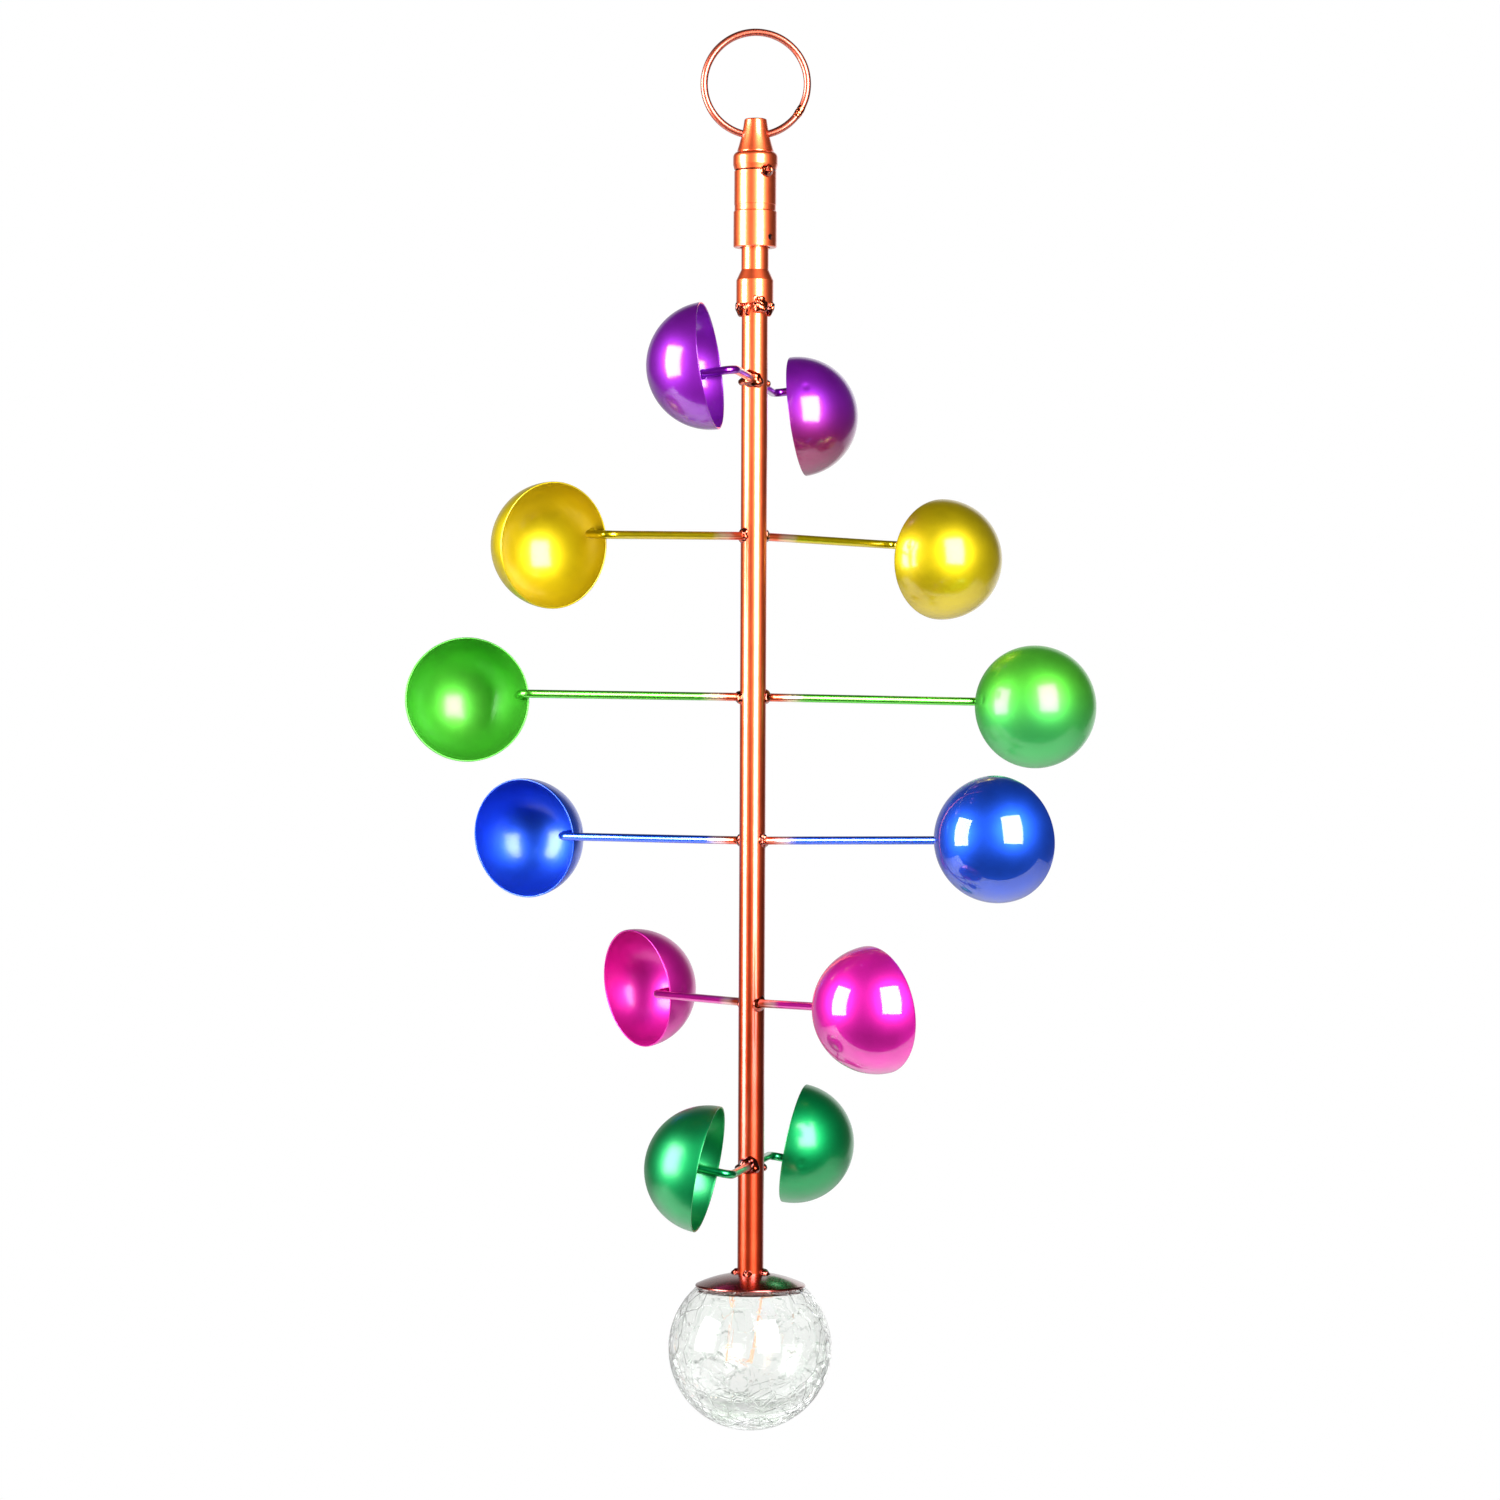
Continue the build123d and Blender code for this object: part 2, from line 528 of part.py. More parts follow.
# ---- The whole object -------------------------------------------------------------------------
def all_parts():
    parts = {
        "hanging_ring": hanging_ring(),
        "ring_seam_weld": ring_seam_weld(),
        "swivel_nose": swivel_nose(),
        "nose_tack_welds": nose_tack_welds(),
        "swivel_sleeve": swivel_sleeve(),
        "bearing_collar": bearing_collar(),
        "collar_grub_screw": collar_grub_screw(),
        "bearing_outer_race": race(BEARING_RADIUS, race_outer_radius),
        "bearing_inner_race": race(race_inner_radius, BEARING_BORE_RADIUS),
        "bearing_balls": bearing_balls(),
        "bearing_cage": bearing_cage(),
        "bearing_shields": bearing_shields(),
        "spindle_bolt": spindle_bolt(),
        "spindle_washer": spindle_washer(),
        "spindle_spacer": spindle_spacer(),
        "coupling": coupling(),
        "coupling_welds": coupling_welds(),
        "pole": pole(),
        "globe_canopy": globe_canopy(),
        "canopy_welds": canopy_welds(),
        "globe_clip": globe_clip(),
        "glass_globe": glass_globe(),
    }
    for tier in TIERS:
        for side in (0, 1):
            parts[f"{tier.colour}_rod_{side + 1}"] = rod(tier, side)
            parts[f"{tier.colour}_cup_{side + 1}"] = cup(tier, side)
        parts[f"{tier.colour}_cup_welds"] = Compound([cup_bead(tier, side) for side in (0, 1)])
    parts["rod_welds"] = Compound([rod_bead(tier, side) for tier in TIERS for side in (0, 1)])
    return parts


def main():
    os.makedirs("parts", exist_ok=True)
    for name, shape in all_parts().items():
        export_step(shape, f"parts/{name}.step")


main()
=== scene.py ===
"""Surfaces, finishes and studio of a hanging cup spinner, laid out as a Blender add-on.

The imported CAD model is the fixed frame: every surface takes its place from the frame's own nodes.
Shapes are worked out in millimetres and go into their meshes in metres.
"""

import math
from collections import namedtuple

import bmesh
import bpy
import numpy as np
from bpy.props import FloatProperty, FloatVectorProperty, IntProperty, PointerProperty
from mathutils import Matrix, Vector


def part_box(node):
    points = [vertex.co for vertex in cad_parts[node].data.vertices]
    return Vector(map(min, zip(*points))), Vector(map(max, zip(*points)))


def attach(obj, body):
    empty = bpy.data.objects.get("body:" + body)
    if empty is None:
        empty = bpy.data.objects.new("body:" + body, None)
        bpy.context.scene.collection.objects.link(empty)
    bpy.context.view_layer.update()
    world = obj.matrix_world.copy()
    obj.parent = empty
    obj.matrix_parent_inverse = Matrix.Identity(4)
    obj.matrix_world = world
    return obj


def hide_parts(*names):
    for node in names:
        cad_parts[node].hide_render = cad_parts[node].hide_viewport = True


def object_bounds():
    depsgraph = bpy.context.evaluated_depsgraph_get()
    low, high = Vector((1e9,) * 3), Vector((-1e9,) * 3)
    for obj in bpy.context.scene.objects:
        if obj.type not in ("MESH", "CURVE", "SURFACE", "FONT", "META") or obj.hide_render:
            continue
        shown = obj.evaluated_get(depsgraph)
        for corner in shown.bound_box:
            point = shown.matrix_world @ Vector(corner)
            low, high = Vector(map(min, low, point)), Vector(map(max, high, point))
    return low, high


bl_info = {
    "name": "Hanging Cup Spinner",
    "version": (1, 0, 0),
    "blender": (4, 5, 0),
    "location": "View3D > Sidebar > Spinner",
    "description": "Makes the surfaces, finishes and studio of a hanging cup spinner",
    "category": "Add Mesh",
}

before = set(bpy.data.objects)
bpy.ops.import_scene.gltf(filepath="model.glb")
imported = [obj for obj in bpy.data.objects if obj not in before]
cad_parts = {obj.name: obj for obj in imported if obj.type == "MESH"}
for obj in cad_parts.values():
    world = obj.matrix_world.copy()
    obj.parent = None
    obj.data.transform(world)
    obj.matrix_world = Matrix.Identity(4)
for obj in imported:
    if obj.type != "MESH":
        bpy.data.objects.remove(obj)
cad_box = [list(corner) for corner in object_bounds()]
COLOURS = [name.removesuffix("_cup_1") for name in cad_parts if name.endswith("_cup_1")]
MM = 0.001


# ---- Measures read from the frame ----------------------------------------------------------------
def node_points(node):
    """All the vertices of a CAD node, in millimetres."""
    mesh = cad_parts[node].data
    points = np.empty(len(mesh.vertices) * 3)
    mesh.vertices.foreach_get("co", points)
    return points.reshape(-1, 3) / MM


def extent(node):
    """Lowest and highest corner of a CAD node, in millimetres."""
    low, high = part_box(node)
    return np.array(low) / MM, np.array(high) / MM


def unit(vector):
    return vector / np.linalg.norm(vector)


def off_axis(points):
    """Distance of each point from the Z axis."""
    return np.hypot(points[..., 0], points[..., 1])


def round_centre(points):
    """Centre of the circle or sphere through points: the least-squares solution of 2 c.p + k = p.p."""
    system = np.c_[2 * points, np.ones(len(points))]
    return np.linalg.lstsq(system, (points**2).sum(1), rcond=None)[0][:-1]


def circle_centre(points, normal):
    """Centre of the circle through points seen along normal, at their mean depth along it."""
    side = unit(np.cross(normal, (0.31, 0.17, 0.93)))
    basis = np.stack([side, np.cross(normal, side)])
    return round_centre(points @ basis.T) @ basis + normal * (points @ normal).mean()


def cup_place(node):
    """Centre, opening direction, outer and inner radius of a cup: the sphere through its outer points, and
    the normal of the plane through its rim."""
    points = node_points(node)
    outside = np.ones(len(points), bool)
    for _ in range(2):
        centre = round_centre(points[outside])
        distance = np.linalg.norm(points - centre, axis=1)
        outside = distance > (distance.min() + distance.max()) / 2
    opening = unit(centre - points.mean(0))
    rim_depth = -0.6
    for _ in range(3):
        rim = points[(points - centre) @ opening > rim_depth]
        normal = np.linalg.svd(rim - rim.mean(0))[2][2]
        opening = normal * np.sign(normal @ opening)
    return centre, opening, distance.max(), distance.min()


def rod_path(node, opening, pole_radius):
    """Root, corner and end of a rod's centre line, from the circles round its two ends."""
    points = node_points(node)
    depth = points @ opening
    end = circle_centre(points[depth < depth.min() + 0.02], opening)
    root_points = points[off_axis(points) < pole_radius + 0.05]
    root = root_points.mean(0)
    for _ in range(3):
        along = unit((end - root) - ((end - root) @ opening) * opening)
        root = circle_centre(root_points, along)
    return root, root + along * ((end - root) @ along), end


# ---- Surfaces ------------------------------------------------------------------------------------
def sheet(grid, closed=False):
    """A grid of points as (vertices, faces): quads between neighbouring rows, whose columns join round. If
    closed, the last row joins the first."""
    rows, columns = grid.shape[:2]
    row, column = np.arange(rows if closed else rows - 1)[:, None], np.arange(columns)[None, :]
    below, right = (row + 1) % rows, (column + 1) % columns
    here, there = row * columns, below * columns
    corners = (here + column, here + right, there + right, there + column)
    return grid.reshape(-1, 3), np.stack(np.broadcast_arrays(*corners), -1).reshape(-1, 4)


def full_turn(count):
    """Angles spaced evenly round a circle."""
    return np.linspace(0, 2 * math.pi, count, endpoint=False)


def arc(turn, radius, across=0.0, up=0.0, rise=None):
    """Points (across, up) of an arc at the given angles. Its radius upwards is rise, if that is given."""
    rise = radius if rise is None else rise
    return np.stack([across + radius * np.cos(turn), up + rise * np.sin(turn)], 1)


def spun(radius, height, columns):
    """Grid of circles about +Z, a row for each radius and height. A radius may vary round its circle."""
    angle = full_turn(columns)
    return np.stack([radius * np.cos(angle), radius * np.sin(angle), height + 0 * angle], -1)


def turned(profile, columns=96, closed=True, wobble=0.0):
    """Surface of revolution: each (radius, height) of the profile is carried round +Z, and the radius may
    waver by a few slow sine waves of random phase."""
    radius, height = np.asarray(profile, float).T[..., None]
    if wobble:
        phase = np.random.default_rng(2).uniform(0, 6.28, 4)
        wave = sum(np.sin(k * (full_turn(columns) + 0.4 * height) + phase[k - 2]) / k for k in (2, 3, 5))
        radius = radius - wobble * (0.8 + wave) * np.minimum(1, radius / 2)
    return sheet(spun(radius, height, columns), closed)


def rounded(corners):
    """Closed outline through (radius, height, rounding) corners. A corner becomes an arc tangent to both
    of its sides, with one more point just beyond each end of the arc so that the sides shade flat."""
    steps, guard, least_guard = 5, 0.25, 0.02
    corners = [np.array(corner, float) for corner in corners]
    outline = []
    for before, here, after in zip(corners[-1:] + corners[:-1], corners, corners[1:] + corners[:1]):
        back, onward = before[:2] - here[:2], after[:2] - here[:2]
        if here[2] == 0:
            outline.append(here[:2])
            continue
        room = 0.45 * min(np.linalg.norm(back), np.linalg.norm(onward))
        back, onward = unit(back), unit(onward)
        half = math.acos(np.clip(back @ onward, -1, 1)) / 2
        reach = min(here[2] / math.tan(half), room)
        radius = reach * math.tan(half)
        centre = here[:2] + unit(back + onward) * radius / math.sin(half)
        first, last = here[:2] + back * reach - centre, here[:2] + onward * reach - centre
        sweep = math.pi - 2 * half
        part = np.linspace(0, 1, steps + 1)[:, None]
        arc = (np.sin((1 - part) * sweep) * first + np.sin(part * sweep) * last) / math.sin(sweep)
        beyond = min(guard, room - reach if room > reach else least_guard)
        outline.append(here[:2] + back * (reach + beyond))
        outline.extend(centre + arc)
        outline.append(here[:2] + onward * (reach + beyond))
    return np.array(outline)


def tube_grid(path, binormal, radii, columns, closed=False, ends=None):
    """Grid of the circles of each radius carried along a path that lies in one plane, square to the path.
    Ends are two directions that its first and last rows stay square to."""
    run = np.roll(path, -1, 0) - np.roll(path, 1, 0) if closed else np.gradient(path, axis=0)
    tangent = run / np.maximum(np.linalg.norm(run, axis=1, keepdims=True), 1e-9)
    if ends:
        tangent[:3], tangent[-6:] = ends
    angle = full_turn(columns)[:, None]
    ring = np.cross(binormal, tangent)[:, None] * np.cos(angle) + binormal * np.sin(angle)
    return path[:, None] + ring * np.reshape(radii, (-1, 1, 1))


def frame_towards(axis, up=(0.0, 0.0, 1.0)):
    """Columns: a side, a second side and the axis, at right angles to each other."""
    axis = unit(np.asarray(axis, float))
    side = unit(np.cross(up, axis))
    return np.stack([side, np.cross(axis, side), axis], 1)


def around(degrees):
    """The directions outwards and sideways at an angle round the Z axis."""
    turn = math.radians(degrees)
    return np.array([math.cos(turn), math.sin(turn), 0.0]), np.array([-math.sin(turn), math.cos(turn), 0.0])


def ripple(ray, seed, count, spread):
    """Sum of slow sine waves over directions. Their wave vectors and phases are drawn at random."""
    random = np.random.default_rng(seed)
    waves, phase = random.normal(0, spread, (count, 3)), random.uniform(0, 6.28, count)
    return np.sin(ray @ waves.T + phase).sum(-1)


def blob(centre, lobes, facing, rough, seed, crater=0.0, crater_width=0.45, rows=40, columns=56):
    """A lump of weld metal. Along each direction from the centre the surface lies where the smooth union
    of the lobes (offset, radius) ends, found by halving. A crater is pressed in round the facing direction
    with a raised lip, and slow random waves make the lump uneven."""
    blend, farthest, halvings = 1.7, 14.0, 18
    down = np.linspace(0, math.pi, rows)[:, None]
    ray = spun(np.sin(down), np.cos(down), columns) @ frame_towards(facing, (0.1, 0.2, 0.97)).T
    offsets, sizes = np.array([lobe[0] for lobe in lobes], float), np.array([lobe[1] for lobe in lobes])
    inside, outside = np.zeros((rows, columns)), np.full((rows, columns), farthest)
    for _ in range(halvings):
        middle = (inside + outside) / 2
        gap = np.linalg.norm(ray[..., None, :] * middle[..., None, None] - offsets, axis=-1) - sizes
        within = np.exp(-blend * gap).sum(-1) > 1
        inside, outside = np.where(within, middle, inside), np.where(within, outside, middle)
    radius = (inside + outside) / 2
    angle = np.arccos(np.clip(ray @ unit(np.asarray(facing, float)), -1, 1)) / crater_width
    radius -= crater * (np.exp(-(angle**2) * 2.2) - 0.45 * np.exp(-((angle - 1.15) ** 2) * 7))
    return centre + ray * (radius + rough * ripple(ray, seed, 6, 4.42) / 2.4)[..., None]


def lump(*arguments, floor_radius, **settings):
    """A blob as (vertices, faces), whose points inside floor_radius round +Z are pushed out to it."""
    grid = blob(*arguments, **settings)
    grid[..., :2] *= np.maximum(1.0, floor_radius / np.maximum(off_axis(grid), 1e-6))[..., None]
    return sheet(grid)


def joined(parts):
    """Several (vertices, faces) as one."""
    offsets = np.cumsum([0] + [len(v) for v, _ in parts[:-1]])
    return np.concatenate([v for v, _ in parts]), np.concatenate([f + o for (_, f), o in zip(parts, offsets)])


def placed(name, data):
    """A new object in the scene."""
    thing = bpy.data.objects.new(name, data)
    bpy.context.scene.collection.objects.link(thing)
    return thing


def new_piece(name, body, surface, finish, replaces, recalculate=True):
    """Puts a surface in millimetres into a mesh in metres, closes its seams and poles, ties the piece to its
    body and its finish, and hides the CAD nodes that it stands for."""
    vertices, faces = surface
    mesh = bpy.data.meshes.new(name)
    mesh.vertices.add(len(vertices))
    mesh.vertices.foreach_set("co", (vertices * MM).astype(np.float32).ravel())
    mesh.loops.add(faces.size)
    mesh.loops.foreach_set("vertex_index", faces.astype(np.int32).ravel())
    mesh.polygons.add(len(faces))
    mesh.polygons.foreach_set("loop_start", np.arange(0, faces.size, 4, dtype=np.int32))
    mesh.update()
    shape = bmesh.new()
    shape.from_mesh(mesh)
    bmesh.ops.remove_doubles(shape, verts=shape.verts, dist=0.002 * MM)
    if recalculate:
        bmesh.ops.recalc_face_normals(shape, faces=shape.faces)
    shape.to_mesh(mesh)
    shape.free()
    mesh.polygons.foreach_set("use_smooth", np.ones(len(mesh.polygons), bool))
    mesh.materials.append(finish)
    piece = placed(name, mesh)
    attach(piece, body)
    if replaces:
        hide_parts(*replaces)


def copper_piece(name, body, surface, kind, node):
    """A piece in one of the copper finishes, in place of one CAD node."""
    new_piece(name, body, surface, copper(kind), [node])


def dress(node, finish):
    """A CAD node keeps its shape and gets a finish."""
    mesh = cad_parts[node].data
    mesh.materials.clear()
    mesh.materials.append(finish)


# ---- Shader maths --------------------------------------------------------------------------------
class Value:
    """A number that varies over a surface. Arithmetic on it adds Math nodes."""

    def __init__(self, nodes, socket):
        self.nodes, self.socket = nodes, socket

    def _math(self, operation, *terms, clamp=False):
        settings = {"operation": operation, "use_clamp": clamp}
        node = self.nodes.add("ShaderNodeMath", settings, dict(enumerate(terms)))
        return Value(self.nodes, node.outputs[0])

    def __add__(self, other):
        return self._math("ADD", self, other)

    def __sub__(self, other):
        return self._math("SUBTRACT", self, other)

    def __rsub__(self, other):
        return self._math("SUBTRACT", other, self)

    def __mul__(self, other):
        return self._math("MULTIPLY", self, other)

    def __pow__(self, other):
        return self._math("POWER", self, other)

    __radd__, __rmul__ = __add__, __mul__

    def abs(self):
        return self._math("ABSOLUTE", self)

    def least(self, other):
        return self._math("MINIMUM", self, other)

    def most(self, other):
        return self._math("MAXIMUM", self, other)

    def clamped(self):
        return self._math("ADD", self, 0.0, clamp=True)

    def between(self, low, high, first=0.0, last=1.0):
        """First below low, last above high and a smooth step in between."""
        settings = {"interpolation_type": "SMOOTHSTEP"}
        sockets = {"Value": self, "From Min": low, "From Max": high, "To Min": first, "To Max": last}
        return Value(self.nodes, self.nodes.add("ShaderNodeMapRange", settings, sockets).outputs[0])


class Nodes:
    """The nodes of a material or world, which starts empty."""

    def __init__(self, owner, coordinates, output):
        owner.use_nodes = True
        self.owner, self.tree, self.output = owner, owner.node_tree, output
        self.tree.nodes.clear()
        self.place = self.add("ShaderNodeTexCoord").outputs[coordinates]

    def add(self, kind, settings=None, sockets=None):
        """Adds a node: its settings go in first, then the values or links of its sockets."""
        node = self.tree.nodes.new(kind)
        for key, value in (settings or {}).items():
            setattr(node, key, value)
        for key, value in (sockets or {}).items():
            value = getattr(value, "socket", value)
            if isinstance(value, bpy.types.NodeSocket):
                self.tree.links.new(value, node.inputs[key])
            elif node.inputs[key].type == "RGBA" and len(value) == 3:
                node.inputs[key].default_value = (*value, 1.0)
            else:
                node.inputs[key].default_value = value
        return node

    def axis(self, index):
        """One of the three coordinates."""
        return Value(self, self.add("ShaderNodeSeparateXYZ", None, {0: self.place}).outputs[index])

    def end(self, shader):
        self.add(self.output, None, {"Surface": shader.outputs[0]})
        return self.owner


class Finish(Nodes):
    """One procedural material, on Object coordinates in metres."""

    def __init__(self, name):
        super().__init__(bpy.data.materials.new(name), "Object", "ShaderNodeOutputMaterial")

    def noise(self, scale, detail=2.0, rough=0.5, distortion=0.0, stretch=None):
        """Noise of 0 to 1. A stretch scales it by a different amount along each axis."""
        place = self.place
        if stretch:
            place = self.add("ShaderNodeMapping", None, {"Vector": place, "Scale": stretch}).outputs[0]
        sockets = {"Vector": place, "Scale": scale, "Detail": detail}
        sockets.update({"Roughness": rough, "Distortion": distortion})
        return Value(self, self.add("ShaderNodeTexNoise", None, sockets).outputs["Fac"])

    def cells(self, scale, feature="F1"):
        """Distance to the nearest of many scattered points, or to the edge between their cells."""
        node = self.add("ShaderNodeTexVoronoi", {"feature": feature}, {"Vector": self.place, "Scale": scale})
        return Value(self, node.outputs["Distance"])

    def specks(self, scale, small, large):
        """1 at scattered round specks, falling to 0 between two distances from each one's middle."""
        return 1 - self.cells(scale).between(small, large)

    def mix(self, factor, first, second):
        """A colour between two colours."""
        return self.add("ShaderNodeMix", {"data_type": "RGBA"}, {0: factor, 6: first, 7: second}).outputs[2]

    def bump(self, height, depth):
        """A normal from a height of 0 to 1 that stands for depth metres."""
        return self.add("ShaderNodeBump", None, {"Height": height, "Distance": depth}).outputs[0]

    def surface(self, **sockets):
        """Ends the tree in a Principled shader. Names are its sockets' with _ for a space."""
        sockets = {name.replace("_", " "): value for name, value in sockets.items()}
        return self.end(self.add("ShaderNodeBsdfPrincipled", None, sockets))


# ---- Finishes ------------------------------------------------------------------------------------
# The copper is painted darker and redder towards this height: painted shade of the dimmer light low on the
# pole.
LOW_COPPER = -600.0  # height (mm) where the copper tint is at its deepest
ROD_FADE = (12.0, 26.0)  # distances (mm) from the pole's axis where a rod's paint starts and is full
BARE_METAL = (0.75, 0.6, 0.5)
# Near black painted into the swivel's seam as the shade inside its gap.
SEAM_GAP_SHADE = (0.012, 0.003, 0.002)


def shade(colour, scale, lift=0.0):
    """A colour made darker or brighter, and kept within range."""
    return tuple(min(1.0, part * scale + lift) for part in colour)


def copper_finish(name, bright, deep, roughness, grain, top=0.0, foot=LOW_COPPER, gap=None):
    """Tinted clear coat over bright metal: one colour at the top turning to a deeper one at the foot, which
    is painted shade of the dimmer light low on the pole, with slow cloudy patches, fine pits, and specks of
    dust under the coat. A gap is a height where a near-black band of painted shade stands for the seam's gap
    nearly all the way round, with no coat on it."""
    finish = Finish(name)
    patches = finish.noise(55.0, 3.0, 0.6)
    # Painted shade: the copper turns deeper towards the foot.
    blend = (finish.axis(2).between(foot * MM, top * MM) + (patches - 0.5) * 0.5).clamped()
    dust = finish.specks(620.0, 0.08, 0.17) * finish.noise(240.0, 1.0).between(0.58, 0.66)
    colour = finish.mix(blend, deep, bright)
    colour = finish.mix(dust * 0.55, colour, shade(deep, 0.35))
    turning_marks = finish.noise(1.0, stretch=(160.0, 160.0, 2600.0))
    coat = 1.0
    if gap is not None:
        # Painted shade of the seam's gap: a near-black dashed band with its coat left off.
        dark = 1 - (finish.axis(2) - gap * MM).abs().between(0.30 * MM, 0.42 * MM)
        dark = dark * finish.noise(260.0, 1.0).between(0.36, 0.44)
        colour = finish.mix(dark, colour, SEAM_GAP_SHADE)
        coat = 1 - dark
    height = turning_marks * 0.3 + finish.noise(500.0) * 0.3 + dust * 1.2
    return finish.surface(
        Base_Color=colour,
        Metallic=1.0,
        Roughness=roughness + finish.noise(300.0, 3.0, 0.6) * 0.06 + dust * 0.2,
        Coat_Weight=coat,
        Coat_Roughness=0.14,
        Coat_IOR=1.5,
        Normal=finish.bump(height, grain * 0.02 * MM),
    )


def weld_finish(name, bright, deep):
    """Glossy tinted metal over rippled weld, darker in its hollows, and deeper towards the foot as painted
    shade.
    """
    finish = Finish(name)
    ripples = finish.noise(420.0, 3.0, 0.6, distortion=0.6)
    drops = finish.cells(520.0, "SMOOTH_F1")
    hollows = finish.noise(260.0, 2.0, 0.6).between(0.35, 0.62)
    # Painted shade: deeper copper towards the foot, as on the pole.
    colour = finish.mix(finish.axis(2).between(LOW_COPPER * MM, 0.0), deep, bright)
    return finish.surface(
        Base_Color=finish.mix(hollows, shade(deep, 0.45), colour),
        Metallic=1.0,
        Roughness=0.16 + ripples * 0.12,
        Coat_Weight=0.8,
        Coat_Roughness=0.03,
        Normal=finish.bump(ripples * 0.7 + (1 - drops) * 0.5, 0.22 * MM),
    )


def paint_finish(name, colour, style, second=None):
    """Candy paint: a clear coat over tinted metallic flake, with dust nibs, a faint orange peel and a
    slightly deeper colour in slow patches. A second tint is (height of its start, of its full strength,
    colour)."""
    finish = Finish(name)
    flake = finish.cells(2600.0)
    patches = finish.noise(28.0, 3.0, 0.55)
    nibs = finish.specks(360.0, 0.05, 0.12) * finish.noise(120.0, 1.0).between(0.6, 0.66)
    tint = finish.mix(patches.between(0.3, 0.7), shade(colour, 0.72), colour)
    tint = finish.mix(flake.between(0.15, 0.6) * 0.08, tint, shade(colour, 1.5, 0.01))
    if second:
        start, full, other = second
        tint = finish.mix(1 - finish.axis(2).between(full * MM, start * MM), tint, other)
    height = finish.noise(340.0) * style.peel + nibs * 0.8 + finish.noise(60.0) * 0.6
    return finish.surface(
        Base_Color=tint,
        Metallic=style.metallic,
        Roughness=style.roughness + (patches - 0.5) * 0.08 + flake * 0.03,
        Coat_Weight=style.coat,
        Coat_Roughness=style.coat_roughness,
        Coat_IOR=1.5,
        Normal=finish.bump(height, 0.03 * MM),
    )


def rod_finish(name, paint, bright, deep, style):
    """The pole's copper tint at the rod's root, deeper lower down as painted shade, passing through pale bare
    metal to the cup's paint.
    """
    finish = Finish(name)
    start, full = ROD_FADE
    x, y = finish.axis(0), finish.axis(1)
    away = (x * x + y * y) ** 0.5 + (finish.noise(180.0) - 0.5) * 5 * MM
    bare = 1 - (away - (start + full) / 2 * MM).abs().between(1.5 * MM, 7 * MM)
    # Painted shade: deeper copper at the roots of the lower tiers, as on the pole.
    tint = finish.mix(finish.axis(2).between(LOW_COPPER * MM, 0.0), deep, bright)
    colour = finish.mix(away.between(start * MM, full * MM), tint, paint)
    return finish.surface(
        Base_Color=finish.mix(bare * 0.45, colour, BARE_METAL),
        Metallic=0.92,
        Roughness=0.26 + finish.noise(500.0) * 0.1,
        Coat_Weight=style.coat,
        Coat_Roughness=0.08,
        Normal=finish.bump(finish.specks(700.0, 0.06, 0.14) * 0.6 + finish.noise(700.0) * 0.4, 0.03 * MM),
    )


def machined_finish(name, colour, metallic, roughness, marks=2200.0):
    """Plain machined or moulded surface: fine turning marks along Z, smudges and tiny pits."""
    finish = Finish(name)
    smudge = finish.noise(220.0, 3.0, 0.6)
    lines = finish.noise(1.0, stretch=(120.0, 120.0, marks))
    return finish.surface(
        Base_Color=finish.mix(smudge, shade(colour, 0.8), shade(colour, 1.12)),
        Metallic=metallic,
        Roughness=roughness + (smudge - 0.5) * 0.12,
        Normal=finish.bump(lines * 0.6 + smudge * 0.4, 0.01 * MM),
    )


def glass_finish(name, tint, low, high):
    """Clear pressed glass with slow waves, tiny seeds and a trace of green, more so in its thick foot."""
    finish = Finish(name)
    waves = finish.noise(26.0)
    crack = 1 - finish.cells(95.0, "DISTANCE_TO_EDGE").between(0.0, 0.05)
    ridges = finish.noise(1.0, 3.0, 0.6, stretch=(60.0, 60.0, 260.0)).between(0.35, 0.6)
    foot = finish.mix(ridges, (0.72, 0.82, 0.71), (1.0, 1.0, 1.0))
    clear = finish.mix(waves, tint, (0.99, 0.99, 0.985))
    dents = finish.cells(150.0, "SMOOTH_F1") * 0.25 + finish.specks(300.0, 0.05, 0.11) * 0.15
    return finish.surface(
        Base_Color=finish.mix(finish.axis(2).between(low * MM, high * MM), foot, clear),
        Metallic=0.0,
        Roughness=0.015 + crack * 0.03,
        Transmission_Weight=1.0,
        IOR=1.17,
        Coat_Weight=0.4,
        Coat_Roughness=0.07,
        Coat_IOR=1.45,
        Normal=finish.bump(waves + dents + crack * 0.3, 0.35 * MM),
    )


def fracture_finish(name):
    """A fracture inside the glass: mostly clear, catching light unevenly like a thin film of air."""
    finish = Finish(name)
    clear = finish.add("ShaderNodeBsdfTransparent", None, {"Color": (0.97, 0.985, 0.975)})
    shine = finish.add("ShaderNodeBsdfGlossy", None, {"Color": (0.93, 0.96, 0.94), "Roughness": 0.12})
    facing = Value(finish, finish.add("ShaderNodeLayerWeight", None, {"Blend": 0.35}).outputs["Facing"])
    share = (finish.noise(170.0, 3.0, 0.6).between(0.38, 0.62) * 0.85 * facing + 0.10).clamped()
    sockets = {0: share, 1: clear.outputs[0], 2: shine.outputs[0]}
    return finish.end(finish.add("ShaderNodeMixShader", None, sockets))


def floor_finish(name, colour):
    """Matt pale backdrop with the faintest cloud in it."""
    finish = Finish(name)
    tint = finish.mix(finish.noise(1.5, 3.0), shade(colour, 0.98), colour)
    return finish.surface(Base_Color=tint, Roughness=0.8)


